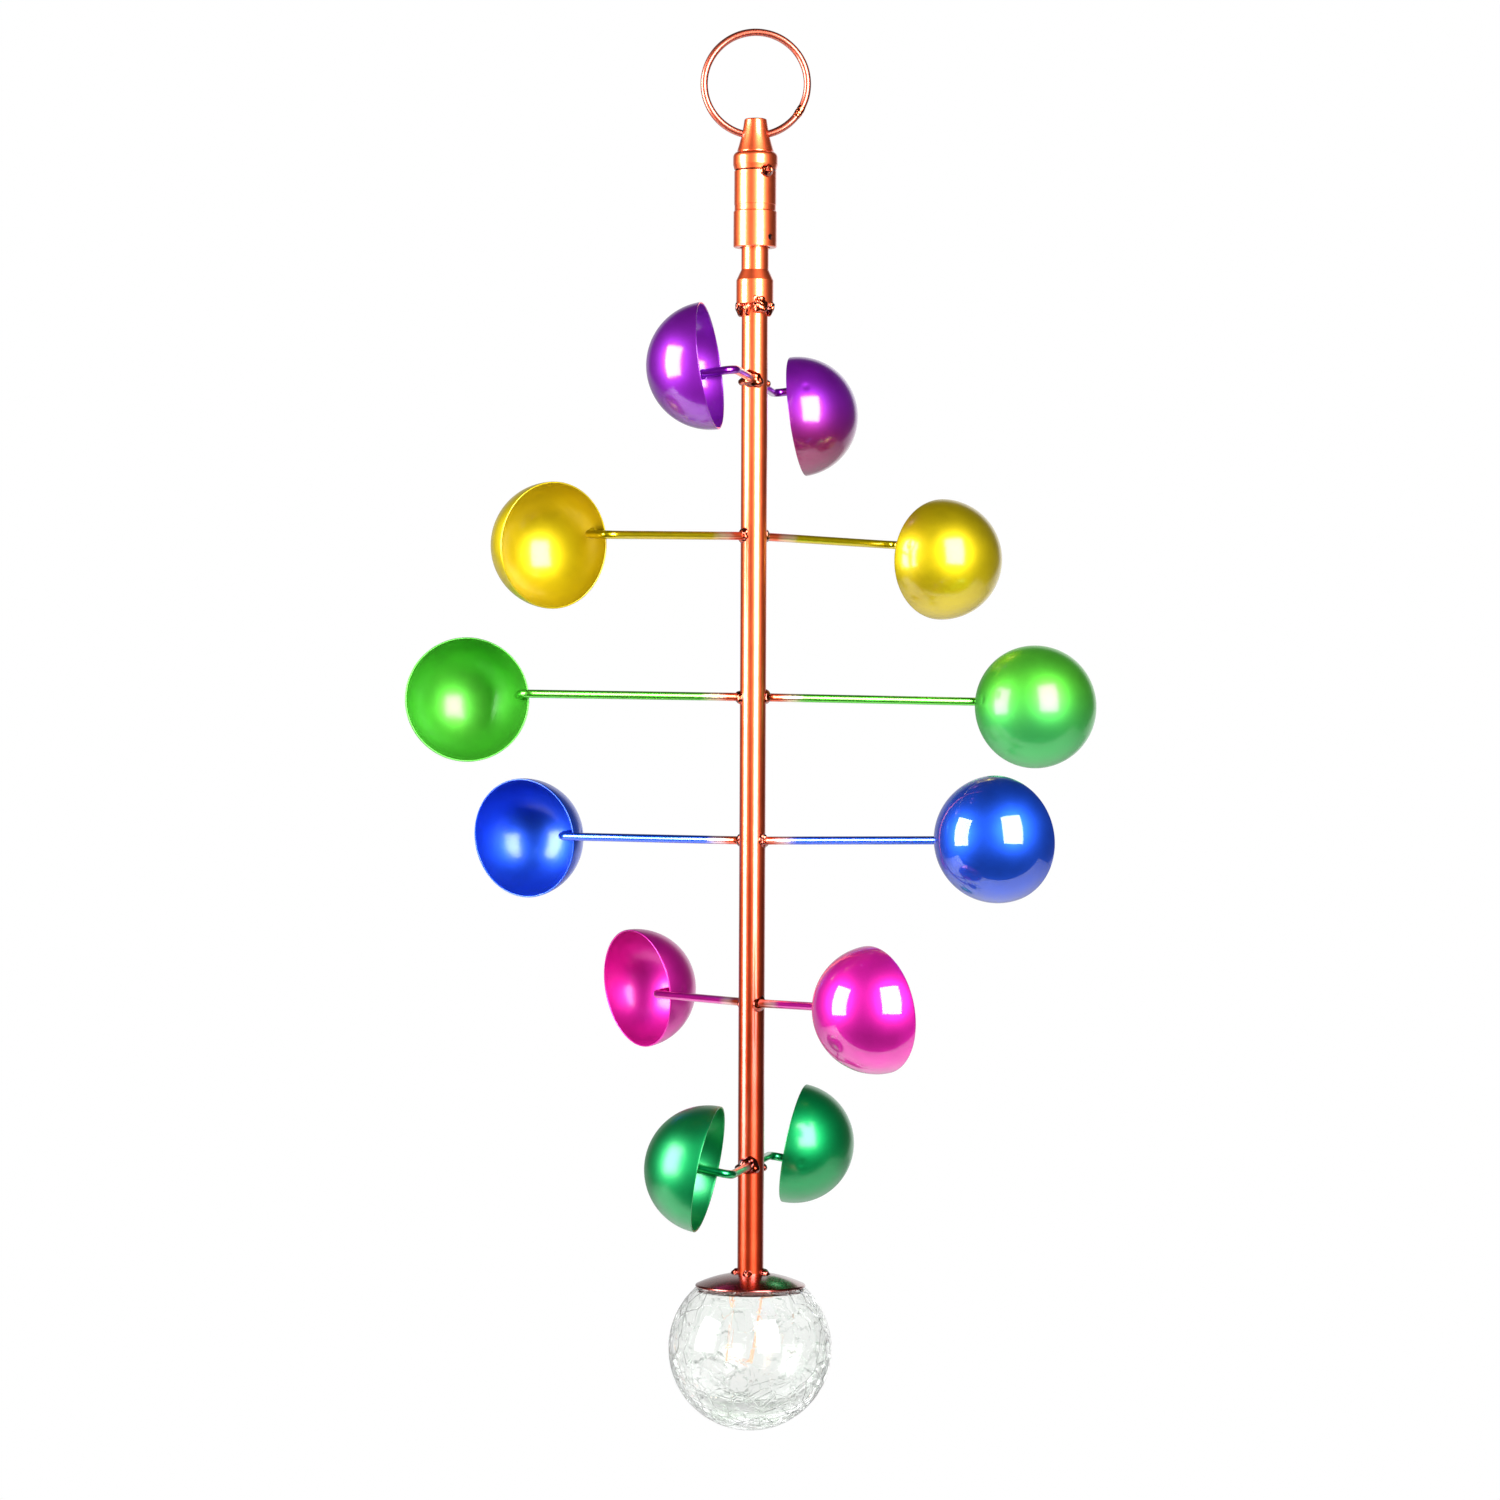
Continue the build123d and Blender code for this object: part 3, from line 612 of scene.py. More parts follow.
PaintStyle = namedtuple("PaintStyle", "metallic roughness coat coat_roughness peel")
PAINT_STYLES = {
    "violet": PaintStyle(0.85, 0.44, 1.0, 0.14, 0.25),
    "yellow": PaintStyle(0.9, 0.49, 0.8, 0.17, 0.3),
    "green": PaintStyle(0.85, 0.48, 0.6, 0.18, 0.3),
    "blue": PaintStyle(0.95, 0.46, 1.0, 0.05, 0.2),
    "pink": PaintStyle(0.85, 0.44, 1.0, 0.06, 0.2),
    "emerald": PaintStyle(0.95, 0.44, 0.6, 0.20, 0.3),
}
# The duller coat of the tier's -X cup: its weight and roughness. It has the same orange peel on each.
SOFT_COATS = {
    "yellow": (0.8, 0.20),
    "green": (0.7, 0.24),
    "blue": (0.7, 0.22),
    "pink": (0.6, 0.22),
    "emerald": (0.6, 0.26),
}
SOFT_PEEL = 0.5
# A second tint low on the tier's +X cup: the heights, from the cup's centre (mm), where it starts and is
# full, and its name.
SECOND_TINTS = {"violet": (12.0, -22.0, "wine"), "green": (16.0, -20.0, "sea")}


def copper(kind):
    """The shared copper finishes, each made once: bright and deep tint (the deep one is painted shade at the
    pole's foot), roughness, grain, and where the tint changes or a seam lies, whose gap is painted dark."""
    made = bpy.data.materials.get(kind)
    if made:
        return made
    names = ("copper", "copper_foot", "copper_dark")
    bright, deep, dark = (tuple(getattr(paints(), name)) for name in names)
    wire = (bright[0] * 0.5, bright[1] * 0.62, bright[2] * 1.1)
    seam = extent("swivel_sleeve")[1][2] - 0.4
    kinds = {
        # The pole: bright copper from -150 mm down to the painted shade of its foot at -560 mm.
        "copper_pole": (bright, deep, 0.35, 0.12, -150.0, -560.0),
        "copper_turned": (bright, bright, 0.37, 0.4),
        # The sleeve's seam gets a painted near-black band as the shade of its gap.
        "copper_sleeve": (bright, bright, 0.37, 0.4, 0.0, LOW_COPPER, seam),
        "copper_wire": (wire, wire, 0.36, 0.03),
        "copper_pressed": (dark, dark, 0.24, 0.1),
    }
    if kind in kinds:
        return copper_finish(kind, *kinds[kind])
    return weld_finish(kind, shade(bright, 0.72), shade(deep, 0.8))


# ---- Settings ------------------------------------------------------------------------------------
def colour_property(name, description, default):
    return FloatVectorProperty(
        name=name, description=description, default=default, subtype="COLOR", min=0.0, max=1.0, size=3
    )


class SpinnerFinishes(bpy.types.PropertyGroup):
    copper: colour_property("Copper", "Copper tint of the ring, swivel and upper pole", (0.86, 0.135, 0.044))
    # The foot's darker, redder copper is painted shade of the dimmer light low on the pole.
    copper_foot: colour_property("Copper, foot", "Redder tint at the pole's foot", (0.37, 0.031, 0.007))
    copper_dark: colour_property("Copper, canopy", "Dark copper tint of the canopy", (0.24, 0.032, 0.022))
    strip: colour_property("Clip strip", "Pale copper strip of the globe's clip", (0.95, 0.55, 0.38))
    violet: colour_property("Violet", "Paint of the first tier", (0.20, 0.007, 0.35))
    wine: colour_property("Wine", "Second tint low on one cup of the first tier", (0.20, 0.010, 0.075))
    sea: colour_property("Sea green", "Second tint low on one cup of the third tier", (0.035, 0.33, 0.075))
    yellow: colour_property("Yellow", "Paint of the second tier", (0.50, 0.385, 0.0008))
    green: colour_property("Green", "Paint of the third tier", (0.070, 0.42, 0.026))
    blue: colour_property("Blue", "Paint of the fourth tier", (0.010, 0.070, 0.56))
    pink: colour_property("Pink", "Paint of the fifth tier", (0.60, 0.008, 0.32))
    emerald: colour_property("Emerald", "Paint of the sixth tier", (0.0, 0.23, 0.060))
    glass: colour_property("Glass", "Tint of the globe", (0.90, 0.925, 0.90))


class SpinnerShapes(bpy.types.PropertyGroup):
    rim_round: FloatProperty(
        name="Cup rim rounding", description="Radius rolled onto each cup's rim, in millimetres", default=0.36
    )
    dimple: FloatProperty(
        name="Cup dimple", description="Depth of the dent over each rod's end, in millimetres", default=0.35
    )
    rod_bend: FloatProperty(
        name="Rod bend", description="Radius of the rods' bends, in millimetres", default=5.0
    )
    cells: IntProperty(
        name="Crackle cells", description="Number of cells that the globe's fractures divide", default=260
    )
    seed: IntProperty(name="Seed", description="Start of every random draw", default=7)


class SpinnerStudio(bpy.types.PropertyGroup):
    focal: FloatProperty(name="Focal length", description="Camera lens, in millimetres", default=109.06)
    eye: FloatVectorProperty(
        name="Eye",
        description="Camera position",
        default=(-0.00136, -2.2, -0.3457),
        subtype="TRANSLATION",
        unit="LENGTH",
    )
    roll: FloatProperty(
        name="Roll", description="Camera roll about its view", default=math.radians(-0.26), subtype="ANGLE"
    )
    drop: FloatProperty(name="Floor drop", description="Floor below the object", default=0.45, unit="LENGTH")


def paints():
    return bpy.context.scene.spinner_finishes


def shapes():
    return bpy.context.scene.spinner_shapes


# ---- Operators -----------------------------------------------------------------------------------
class SpinnerOperator(bpy.types.Operator):
    """Shared base: one execute that makes pieces and finishes."""

    bl_options = {"REGISTER", "UNDO"}

    def execute(self, context):
        self.make()
        return {"FINISHED"}


class SPINNER_OT_ring(SpinnerOperator):
    """Makes the wire ring and the uneven sleeve of weld that closes it"""

    bl_idname = "spinner.ring"
    bl_label = "Hanging ring"

    def make(self):
        low, high = extent("hanging_ring")
        wire = (high[1] - low[1]) / 2
        radius, middle = (high[0] - low[0]) / 2 - wire, (high[2] + low[2]) / 2
        across = np.array([0.0, 1.0, 0.0])

        def on_ring(turn):
            return np.insert(arc(turn, radius, up=middle), 1, 0.0, axis=1)

        angle = full_turn(240)
        sides, uneven = 36, 0.02
        drawn = wire - uneven * (1 + np.sin(9 * angle + 1.0))
        ring = sheet(tube_grid(on_ring(angle), across, drawn, sides, closed=True), closed=True)
        copper_piece("hanging_ring_wire", "ring", ring, "copper_wire", "hanging_ring")
        seam, half_span = sum(extent("ring_seam_weld")) / 2, 0.15
        span = np.linspace(-half_span, half_span, 28)
        path = on_ring(math.atan2(seam[2] - middle, seam[0]) + span)
        swell = wire - 0.3 + 0.62 * np.maximum(0, 1 - (span / half_span) ** 2) ** 0.5
        grid = tube_grid(path, across, swell, sides)
        bumps = np.sin(grid @ np.array([2.9, 1.7, 2.2])) * np.sin(grid @ np.array([-1.3, 2.6, 1.9]))
        grid = path[:, None] + (grid - path[:, None]) * (0.95 + 0.05 * bumps)[..., None]
        ends = np.repeat(path[[0, -1]][:, None], sides, 1)
        grid = np.concatenate([ends[:1], grid, ends[1:]])
        copper_piece("ring_seam_lump", "ring", sheet(grid), "copper_weld", "ring_seam_weld")


class SPINNER_OT_swivel(SpinnerOperator):
    """Makes the sleeve of the swivel and its tack welds, and finishes the nose, collar and bearing"""

    bl_idname = "spinner.swivel"
    bl_label = "Swivel"

    def make(self):
        radius, _, seam = extent("swivel_sleeve")[1]
        foot = extent("bearing_collar")[1][2]
        bearing_radius, _, bearing_top = extent("bearing_outer_race")[1]
        thread = bearing_radius + 1.2
        bore = thread - 2.2
        notch, relief = radius - 0.5, radius - 0.15
        sleeve = rounded([
            (bore, seam, 0.1), (notch, seam, 0.1), (notch, seam - 0.65, 0.1), (radius, seam - 0.7, 0.12),
            (radius, foot + 3.0, 0.12), (relief, foot + 2.9, 0.12), (relief, foot, 0.15),
            (thread, foot, 0.1), (thread, bearing_top, 0.1), (bore, bearing_top, 0.1),
        ])
        copper_piece("swivel_sleeve_turned", "swivel", turned(sleeve), "copper_sleeve", "swivel_sleeve")
        for node in ("swivel_nose", "bearing_collar"):
            dress(node, copper("copper_turned"))
        dress("collar_grub_screw", machined_finish("black_screw", (0.03, 0.028, 0.027), 0.9, 0.4))
        steel = machined_finish("bearing_steel", (0.62, 0.62, 0.63), 1.0, 0.16)
        for node in ("bearing_outer_race", "bearing_inner_race", "bearing_balls", "bearing_shields"):
            dress(node, steel)
        tacks = []
        for index, degrees in enumerate((-57.0, 127.0)):
            out, side = around(degrees)
            spot = out * notch + (0, 0, seam - 0.9)
            lobes = [(-out * 0.4, 2.9), (side * 1.3 - out * 0.3 + (0, 0, 0.5), 2.1),
                     (-side * 1.2 - out * 0.3 - (0, 0, 0.7), 2.1), (side * 0.3 - (0, 0, 1.3), 1.9)]
            tacks.append(lump(spot, lobes, out, 0.12, 3 + index, crater=1.1, crater_width=0.42,
                              floor_radius=radius - 1.4))
        copper_piece("nose_tack_lumps", "swivel", joined(tacks), "copper_weld", "nose_tack_welds")


class SPINNER_OT_spindle(SpinnerOperator):
    """Finishes the spindle, washer, spacer, cage and the rest of what hangs the rotor"""

    bl_idname = "spinner.spindle"
    bl_label = "Spindle and cage"

    def make(self):
        zinc = machined_finish("zinc_steel", (0.66, 0.67, 0.64), 1.0, 0.3)
        for node in ("spindle_bolt", "spindle_washer", "spindle_spacer"):
            dress(node, zinc)
        dress("bearing_cage", machined_finish("cage_nylon", (0.75, 0.72, 0.62), 0.0, 0.5, marks=300.0))


class SPINNER_OT_pole(SpinnerOperator):
    """Makes the coupling, the pole and the melted welds on them"""

    bl_idname = "spinner.pole"
    bl_label = "Pole and coupling"

    def make(self):
        low, high = extent("coupling")
        pole_foot, (pole_radius, _, pole_top) = extent("pole")[0][2], extent("pole")[1]
        points = node_points("coupling")
        across = off_axis(points)
        bore = across.min()
        neck = across[(points[:, 2] > high[2] - 0.05) & (across > 4)].min()
        heights = np.unique(np.round(points[across > neck + 0.3, 2], 2))
        shoulder = heights[heights > low[2] + 2].min()
        flare = points[(abs(across - neck) < 0.05) & (points[:, 2] < high[2] - 1), 2].max()
        socket = pole_radius + 0.05
        outline = rounded([
            (bore, high[2], 0.1), (neck, high[2], 0.3), (neck, flare, 0.9), (high[0], shoulder, 0.5),
            (high[0], low[2], 0.35), (socket, low[2], 0.1), (socket, pole_top, 0.1), (bore, pole_top, 0.1),
        ])
        copper_piece("coupling_turned", "rotor", turned(outline), "copper_turned", "coupling")
        hollow = pole_radius - 1.0
        tube = rounded([(hollow, pole_top, 0.2), (pole_radius, pole_top, 0.3),
                        (pole_radius, pole_foot, 0.3), (hollow, pole_foot, 0.2)])
        copper_piece("pole_tube", "rotor", turned(tube, 128), "copper_pole", "pole")
        self.coupling_welds(low[2], pole_radius)
        self.rod_welds(pole_radius)

    def coupling_welds(self, foot, pole_radius):
        """Lumps round the coupling's foot, each of lobes (sideways, up, radius) about its own spot, sunk a
        little towards the pole. The one in front stands prouder and has the deep crater."""
        front = ((-1.4, 1.9, 2.1), (1.6, 2.4, 1.8), (0.3, 0.0, 2.3), (0.9, -2.0, 2.0), (2.6, -2.9, 1.5),
                 (-0.6, -3.1, 1.3), (3.0, -0.2, 1.4))
        skirt = ((0.0, 0.0, 2.5), (1.2, -0.4, 2.1), (0.2, -2.2, 2.0), (0.3, -4.2, 1.5))
        drip = ((0.0, 0.0, 1.6), (0.1, -1.8, 1.4), (-0.2, -3.6, 1.1), (0.1, -5.2, 0.8))
        places = ((-77.0, front, 1.2), (-125.0, drip, 0.2), (-178.0, skirt, 0.2), (-14.0, skirt, 0.0),
                  (35.0, drip, 0.2), (88.0, skirt, 0.2), (140.0, drip, 0.1))
        lumps = []
        for index, (degrees, shape, sink) in enumerate(places):
            out, side = around(degrees)
            proud, crater, facing = 0.4, 0.25, out
            if shape is front:
                proud, crater, facing = 1.4, 1.3, unit(out * 1.6 - side * 0.9 + (0, 0, 1.3))
            spot = out * (pole_radius + proud) + (0, 0, foot - 0.3)
            lobes = [(side * x - out * 0.3 * sink + (0, 0, z), size) for x, z, size in shape]
            lumps.append(lump(spot, lobes, facing, 0.22, 11 + index, crater=crater, crater_width=0.34,
                              rows=64, columns=88, floor_radius=pole_radius - 0.5))
        copper_piece("coupling_weld_lumps", "rotor", joined(lumps), "copper_weld", "coupling_welds")

    def rod_welds(self, pole_radius):
        """A lump at each rod's root, of random lobes round the rod and a ridge of lobes round the pole. The
        first and last tiers have bigger ones."""
        random = np.random.default_rng(shapes().seed + 1)
        lumps = []
        for colour in COLOURS:
            big = colour in ("violet", "emerald")
            size = 1.5 if big else 1.15
            for number in (1, 2):
                opening = cup_place(f"{colour}_cup_{number}")[1]
                root, corner, _ = rod_path(f"{colour}_rod_{number}", opening, pole_radius)
                out = unit(corner - root)
                up = unit(np.cross(out, opening))
                spot = root - out * 0.3
                lobes = [((0, 0, 0), 2.35 * size)]
                for turn in random.uniform(0, 6.28, 5):
                    away = opening * math.cos(turn) + up * math.sin(turn)
                    lobes.append((away * random.uniform(1.4, 2.3) * size - out * random.uniform(0, 0.8),
                                  random.uniform(1.0, 1.6) * size))
                for turn in np.arange(0.2, 1.3 if big else 0.5, 0.17):
                    for reach in (-1, 0.45):
                        angle = math.atan2(root[1], root[0]) + turn * reach
                        on_pole = np.array([*arc([angle], pole_radius)[0], root[2] - 1.2 * turn])
                        swell = 1.2 if turn > 1.0 else 1.0
                        lobes.append((on_pole - spot, random.uniform(0.9, 1.35) * swell))
                seed = int(random.integers(1000))
                lumps.append(lump(spot, lobes, out, 0.22, seed, floor_radius=pole_radius - 0.5))
        copper_piece("rod_weld_lumps", "rotor", joined(lumps), "copper_weld", "rod_welds")


class SPINNER_OT_arms(SpinnerOperator):
    """Makes the twelve bent rods and the twelve painted cups with the welds between them"""

    bl_idname = "spinner.arms"
    bl_label = "Rods and cups"

    def make(self):
        pole_radius = extent("pole")[1][0]
        copper_tints = tuple(paints().copper), tuple(paints().copper_foot)
        for tier, colour in enumerate(COLOURS):
            tint, style, slot = tuple(getattr(paints(), colour)), PAINT_STYLES[colour], f"{colour}_paint"
            places = {number: cup_place(f"{colour}_cup_{number}") for number in (1, 2)}
            right = 1 if places[1][0][0] > 0 else 2
            paint = paint_finish(f"{colour}_paint", tint, style)
            coats = {1: paint, 2: paint}
            if colour in SECOND_TINTS:
                start, full, second = SECOND_TINTS[colour]
                height = places[right][0][2]
                low_tint = (height + start, height + full, tuple(getattr(paints(), second)))
                coats[right] = paint_finish(f"{colour}_{second}_paint", tint, style, low_tint)
            if colour in SOFT_COATS:
                weight, roughness = SOFT_COATS[colour]
                soft = style._replace(coat=weight, coat_roughness=roughness, peel=SOFT_PEEL)
                coats[3 - right] = paint_finish(f"{colour}_soft_paint", tint, soft)
            rod_paint = rod_finish(f"{colour}_rod_paint", tint, *copper_tints, style)
            beads = []
            for number, (centre, opening, outer, inner) in places.items():
                cup_node, rod_node = f"{colour}_cup_{number}", f"{colour}_rod_{number}"
                root, corner, end = rod_path(rod_node, opening, pole_radius)
                rod = self.rod(root, corner, end, opening)
                new_piece(f"{rod_node}_bent", "rotor", rod, rod_paint, [rod_node])
                cup = self.cup(centre, opening, outer, inner, end, 10 * tier + number)
                new_piece(f"{cup_node}_shell", "rotor", cup, coats[number], [cup_node])
                beads.append(self.bead(end, centre, opening, inner, 40 * tier + number))
            welds = f"{colour}_cup_welds"
            new_piece(f"{colour}_cup_weld_lumps", "rotor", joined(beads), paint, [welds])

    def rod(self, root, corner, end, opening):
        """A circle along the run, the quarter-circle bend and the run back into the cup, closed by slightly
        rounded ends."""
        out, back = unit(corner - root), -opening
        bend, radius = shapes().rod_bend, 2.0
        start = root - out * 0.45
        straight = start + out * np.linspace(0, np.linalg.norm(corner - start) - bend, 24)[:, None]
        turn = np.linspace(0, math.pi / 2, 14)[:, None]
        curve = corner + (back - out) * bend - back * bend * np.cos(turn) + out * bend * np.sin(turn)
        tail = curve[-1] + back * np.linspace(0, np.linalg.norm(end - curve[-1]), 10)[1:, None]
        path = np.concatenate([straight, curve[1:], tail])
        tip = path[-1:]
        path = np.concatenate([path[:1], path[:-1], tip - back * 0.25, tip - back * 0.07, tip, tip])
        radii = np.full(len(path), radius)
        radii[0] = 0.0
        radii[-3:] = radius - 0.07, radius - 0.28, 0.0
        return sheet(tube_grid(path, unit(np.cross(out, back)), radii, 32, ends=(out, back)))

    def cup(self, centre, opening, outer, inner, end, seed):
        """A hemispherical shell turned about its opening direction: up the inside, round the rim and back
        over the outside. The wall wavers slightly, and is dented where the rod's end was welded."""
        lip = shapes().rim_round
        middle, half = (outer + inner) / 2, (outer - inner) / 2
        inside = np.linspace(-math.pi / 2, -math.asin(lip / inner), 60)
        over_rim = np.linspace(math.pi, 0, 9)[1:-1]
        rim = arc(over_rim, half, middle, -lip, lip)
        outside = np.linspace(inside[-1], -math.pi / 2, 60)
        profile = np.concatenate([arc(inside, inner), rim, arc(outside, outer)])
        radius, depth = profile.T[..., None]
        grid = centre + spun(radius, depth, 144) @ frame_towards(opening).T
        distance = np.linalg.norm(grid - centre, axis=-1)
        ray = (grid - centre) / np.maximum(distance, 1e-9)[..., None]
        waver = 0.035 * (ripple(ray, seed, 5, 2.56) / 3 - 0.9)
        apart = np.arccos(np.clip(ray @ unit(end - centre), -1, 1)) * outer
        dent = -shapes().dimple * np.exp(-((apart / 1.7) ** 2)) + 0.10 * np.exp(-(((apart - 3.2) / 1.2) ** 2))
        dent = np.minimum(dent, 0.0) * (distance > middle)
        fade = np.clip(-(ray @ opening) * 8, 0, 1)
        return sheet(grid + ray * (waver + dent * fade)[..., None])

    def bead(self, end, centre, opening, inner, seed):
        """A small lump where the rod's end meets the inside of the cup."""
        out = unit((end - centre) - ((end - centre) @ opening) * opening)
        side = np.cross(out, opening)
        lobes = [((0, 0, 0), 1.5), (opening * 0.9 - out * 0.4, 1.2), (-opening * 0.3 + out * 0.2, 1.2),
                 (side * 1.1, 1.2), (-side * 1.0, 1.1)]
        grid = blob(end + out * 1.6 + opening * 0.3, lobes, out, 0.10, seed, rows=24, columns=32)
        reach = np.linalg.norm(grid - centre, axis=-1, keepdims=True)
        return sheet(centre + (grid - centre) * np.minimum(1, (inner + 0.25) / reach))


class SPINNER_OT_canopy(SpinnerOperator):
    """Makes the pressed canopy and the welds that hold it to the pole"""

    bl_idname = "spinner.canopy"
    bl_label = "Canopy"

    def make(self):
        (_, _, foot), (rim, _, _) = extent("globe_canopy")
        pole_foot, pole_radius = extent("pole")[0][2], extent("pole")[1][0]
        lip, thickness, bend, hem = 1.0, 0.8, 0.9, 0.4
        dome_radius = 62.4
        edge = foot + lip
        rise = node_points("globe_canopy")[:, 2].max() + pole_radius**2 / 2 / dome_radius - edge
        sphere = (rim**2 + rise**2) / (2 * rise)
        heart = edge + rise - sphere
        out = np.linspace(pole_radius, rim - bend, 40)
        back = np.linspace(rim - 1.4, pole_radius, 40)
        profile = np.concatenate([
            np.stack([out, heart + np.sqrt(sphere**2 - out**2)], 1),
            arc(np.linspace(math.radians(66), 0, 9), bend, rim - bend, edge - 0.55),
            [(rim, foot + 0.3)],
            arc(np.linspace(0, -math.pi, 9), hem, rim - hem, foot + hem),
            [(rim - thickness, edge - 0.5)],
            np.stack([back, heart + np.sqrt((sphere - thickness) ** 2 - back**2)], 1),
        ])
        canopy = turned(profile, 160, wobble=0.03)
        copper_piece("globe_canopy_pressed", "rotor", canopy, "copper_pressed", "globe_canopy")
        random = np.random.default_rng(shapes().seed + 5)
        lumps = []
        for index, (degrees, size) in enumerate(((-20.0, 1.0), (70.0, 0.9), (172.0, 0.85), (255.0, 0.8))):
            out, side = around(degrees)
            spot = out * (pole_radius + 0.4) + (0, 0, pole_foot + 1.2)
            run = out * random.uniform(2.2, 3.2) + side * random.normal(0, 0.8) - (0, 0, 1.2)
            lobes = [((0, 0, 0), 1.7 * size), (out * 1.3 - (0, 0, 0.7), 1.2 * size), (run, 0.7 * size),
                     (side * 1.4 - (0, 0, 0.5), 1.1 * size), (-side * 1.2 - (0, 0, 0.5), 1.1 * size)]
            lumps.append(lump(spot, lobes, unit(out + (0, 0, 0.7)), 0.16, 70 + index, crater=0.3,
                              floor_radius=pole_radius - 0.5))
        copper_piece("canopy_weld_lumps", "rotor", joined(lumps), "copper_weld", "canopy_welds")


class SPINNER_OT_clip(SpinnerOperator):
    """Finishes the sprung copper clip inside the globe"""

    bl_idname = "spinner.clip"
    bl_label = "Globe clip"

    def make(self):
        strip = tuple(paints().strip)
        dress("globe_clip", copper_finish("copper_strip", strip, strip, 0.25, 0.5))


class SPINNER_OT_globe(SpinnerOperator):
    """Makes the glass globe and the network of fractures in its wall"""

    bl_idname = "spinner.globe"
    bl_label = "Crackle globe"

    def make(self):
        foot, (radius, _, top) = extent("glass_globe")[0][2], extent("glass_globe")[1]
        centre = foot + radius
        points = node_points("glass_globe")
        mouth = off_axis(points)[points[:, 2] > top - 0.05].min()
        wall = 2.8
        ceiling, inner_radius = top - wall, radius - wall
        outer_turn = np.linspace(-math.pi / 2, math.asin((top - centre) / radius), 90)
        inner_turn = np.linspace(math.asin((ceiling - centre) / inner_radius), -math.pi / 2, 90)
        thick_foot = 1.9 * np.clip((-np.sin(inner_turn) - 0.55) / 0.45, 0, 1) ** 1.5
        outer = arc(outer_turn, radius, up=centre)
        reach = inner_radius - thick_foot
        inner = arc(inner_turn, reach, up=centre, rise=reach)
        top_line = [(outer[-1, 0] - 0.5, top), (mouth + 0.8, top), (mouth + 0.2, top - 0.2),
                    (mouth, top - 0.8), (mouth, ceiling + 0.8), (mouth + 0.2, ceiling + 0.2),
                    (mouth + 0.8, ceiling)]
        globe = turned(np.concatenate([outer, top_line, inner]), 160, closed=False)
        glass = glass_finish("crackle_glass_clear", tuple(paints().glass), foot + 7.0, foot + 16.0)
        new_piece("glass_globe_blown", "rotor", globe, glass, ["glass_globe"])
        skin, bare_top = 0.12, 3.0
        ribbons = self.fractures(centre, radius - skin, inner_radius + skin, top - bare_top)
        new_piece("glass_globe_fractures", "rotor", ribbons, fracture_finish("crackle_glass_fracture"), (),
                  recalculate=False)

    def fractures(self, centre, outer, inner, highest):
        """Ribbons through the glass along the edges of a spherical Voronoi net. The net's corners are the
        centres of the faces of the convex hull of random points on a sphere, and its edges join the
        corners of neighbouring faces. Each edge wanders sideways by random waves, some are left out, and
        none rises past the highest height."""
        random = np.random.default_rng(shapes().seed + 9)
        kept_share, wander, tilt, shallowest, count = 0.86, 0.016, 0.02, 0.6, 7
        sites = random.normal(size=(shapes().cells, 3))
        hull = bmesh.new()
        for site in sites / np.linalg.norm(sites, axis=1, keepdims=True):
            hull.verts.new(site)
        bmesh.ops.convex_hull(hull, input=hull.verts)
        hull.faces.ensure_lookup_table()
        hull.faces.index_update()
        normals = np.array([face.normal[:] for face in hull.faces])
        links = [[face.index for face in edge.link_faces] for edge in hull.edges]
        hull.free()
        pairs = np.array([pair for pair in links if len(pair) == 2])
        pairs = pairs[random.random(len(pairs)) < kept_share]
        start, end = normals[pairs[:, 0]], normals[pairs[:, 1]]
        steps = np.linspace(0, 1, count)
        line = start[:, None] * (1 - steps)[:, None] + end[:, None] * steps[:, None]
        side = np.cross(start, end)
        side = (side / np.maximum(np.linalg.norm(side, axis=1, keepdims=True), 1e-9))[:, None]
        stray = random.normal(0, wander, (len(pairs), count)) * np.sin(math.pi * steps)
        line = line + side * stray[..., None]
        line /= np.linalg.norm(line, axis=-1, keepdims=True)
        below = line + side * random.normal(0, tilt, (len(pairs), 1))[..., None]
        depth = inner + (outer - inner) * random.uniform(0.0, shallowest, (len(pairs), 1, 1))
        below = below / np.linalg.norm(below, axis=-1, keepdims=True) * depth
        grid = np.stack([line * outer, below], 2) + (0, 0, centre)
        grid = grid[grid[..., 2].max((1, 2)) < highest]
        first = (np.arange(len(grid))[:, None] * 2 * count + 2 * np.arange(count - 1))[..., None]
        return grid.reshape(-1, 3), (first + (0, 1, 3, 2)).reshape(-1, 4)


# The soft lights: direction from the object's middle, distance, width and height (m), and power (W).
SOFTBOXES = {
    "softbox_left": ((-0.93, -0.36, 0.17), 1.7, 0.95, 1.32, 85.0),
    "softbox_right": ((0.43, -0.86, 0.27), 1.9, 1.17, 1.66, 140.0),
}


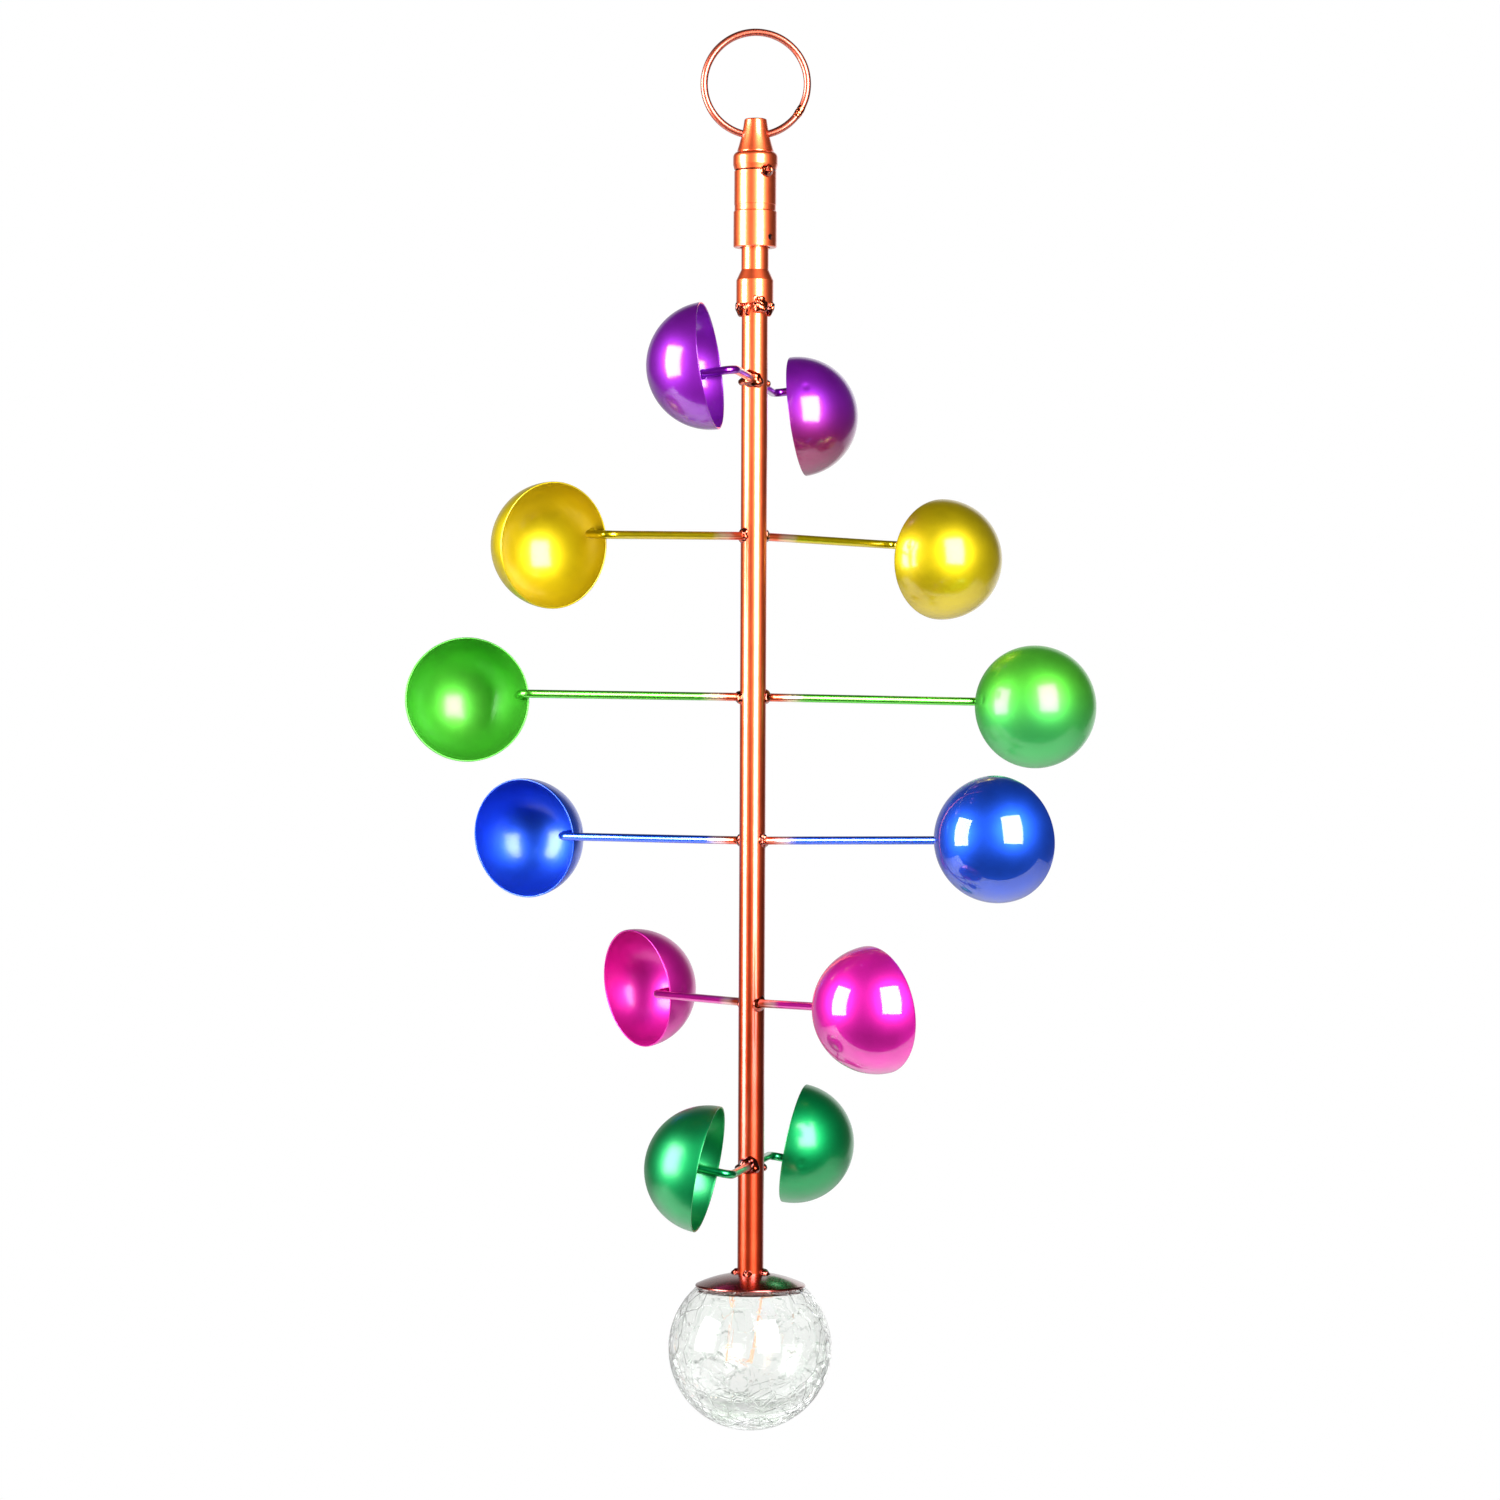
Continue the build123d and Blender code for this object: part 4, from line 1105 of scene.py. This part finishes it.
class SPINNER_OT_stage(SpinnerOperator):
    """Makes the pale floor, the soft lights, the surroundings and the camera"""

    bl_idname = "spinner.stage"
    bl_label = "Studio"

    def make(self):
        scene, studio = bpy.context.scene, bpy.context.scene.spinner_studio
        low, high = np.array(cad_box)
        corners = [(-1.7, -0.25), (1.7, -0.25), (1.7, 2.2), (-1.7, 2.2)]
        mesh = bpy.data.meshes.new("floor")
        mesh.from_pydata([(x, y, low[2] - studio.drop) for x, y in corners], [], [(0, 1, 2, 3)])
        mesh.materials.append(floor_finish("floor_pale", (0.9, 0.9, 0.9)))
        placed("floor", mesh)
        for name, settings in SOFTBOXES.items():
            self.softbox(name, (low + high) / 2, *settings)
        self.surroundings()
        lens = bpy.data.cameras.new("camera")
        lens.lens, lens.sensor_width = studio.focal, 36.0
        lens.clip_start, lens.clip_end = 0.05, 50.0
        camera = placed("camera", lens)
        camera.location = studio.eye
        camera.rotation_euler = (math.pi / 2, studio.roll, 0.0)
        scene.camera = camera
        scene.view_settings.view_transform = "Standard"

    def softbox(self, name, middle, towards, distance, width, height, power):
        """A soft rectangular light at a distance from the object's middle, facing it."""
        light = bpy.data.lights.new(name, "AREA")
        light.shape, light.size, light.size_y, light.energy = "RECTANGLE", width, height, power
        lamp = placed(name, light)
        turn = Matrix(frame_towards(towards).tolist()).to_4x4()
        lamp.matrix_world = Matrix.Translation(middle + unit(np.array(towards)) * distance) @ turn
        lamp.visible_camera = False

    def surroundings(self):
        """White to the camera and through glass; to reflections, a bright sweep behind and below that gives
        way to a dim room in front and above."""
        world = bpy.data.worlds.new("studio")
        bpy.context.scene.world = world
        nodes = Nodes(world, "Generated", "ShaderNodeOutputWorld")
        x, y, z = (nodes.axis(index) for index in range(3))
        sweep = (y - (z.least(0.0) * 0.9 + 0.72)).between(0.0, 0.15, 0.03, 1.2)
        high = z.between(0.45, 0.75, 1.0, 0.1) * z.between(-0.75, -0.1, 0.22, 1.0)
        level = sweep * high * x.between(-0.25, 0.3, 0.35, 1.0)

        def background(strength):
            sockets = {"Color": (1.0, 1.0, 1.0), "Strength": strength}
            return nodes.add("ShaderNodeBackground", None, sockets).outputs[0]

        path = nodes.add("ShaderNodeLightPath").outputs
        seen = Value(nodes, path["Is Camera Ray"]).most(Value(nodes, path["Is Transmission Ray"]))
        sockets = {0: seen, 1: background(level), 2: background(1.0)}
        nodes.end(nodes.add("ShaderNodeMixShader", None, sockets))


class SPINNER_PT_panel(bpy.types.Panel):
    """Lists the spinner's settings and its operators"""

    bl_idname = "SPINNER_PT_panel"
    bl_label = "Cup spinner"
    bl_space_type = "VIEW_3D"
    bl_region_type = "UI"
    bl_category = "Spinner"

    def draw(self, context):
        for operator in OPERATORS:
            self.layout.operator(operator.bl_idname)
        for group in (getattr(context.scene, name) for name in GROUPS):
            box = self.layout.box()
            for name in group.__annotations__:
                box.prop(group, name)


GROUPS = {
    "spinner_finishes": SpinnerFinishes,
    "spinner_shapes": SpinnerShapes,
    "spinner_studio": SpinnerStudio,
}
OPERATORS = (
    SPINNER_OT_ring,
    SPINNER_OT_swivel,
    SPINNER_OT_spindle,
    SPINNER_OT_pole,
    SPINNER_OT_arms,
    SPINNER_OT_canopy,
    SPINNER_OT_clip,
    SPINNER_OT_globe,
    SPINNER_OT_stage,
)


def register():
    for kind in (*GROUPS.values(), *OPERATORS, SPINNER_PT_panel):
        bpy.utils.register_class(kind)
    for name, group in GROUPS.items():
        setattr(bpy.types.Scene, name, PointerProperty(type=group))


def unregister():
    for name in GROUPS:
        delattr(bpy.types.Scene, name)
    for kind in reversed((*GROUPS.values(), *OPERATORS, SPINNER_PT_panel)):
        bpy.utils.unregister_class(kind)


def main():
    register()
    for operator in OPERATORS:
        group, name = operator.bl_idname.split(".")
        if getattr(getattr(bpy.ops, group), name)() != {"FINISHED"}:
            raise RuntimeError(f"{operator.bl_idname} did not finish")


if __name__ == "__main__":
    main()
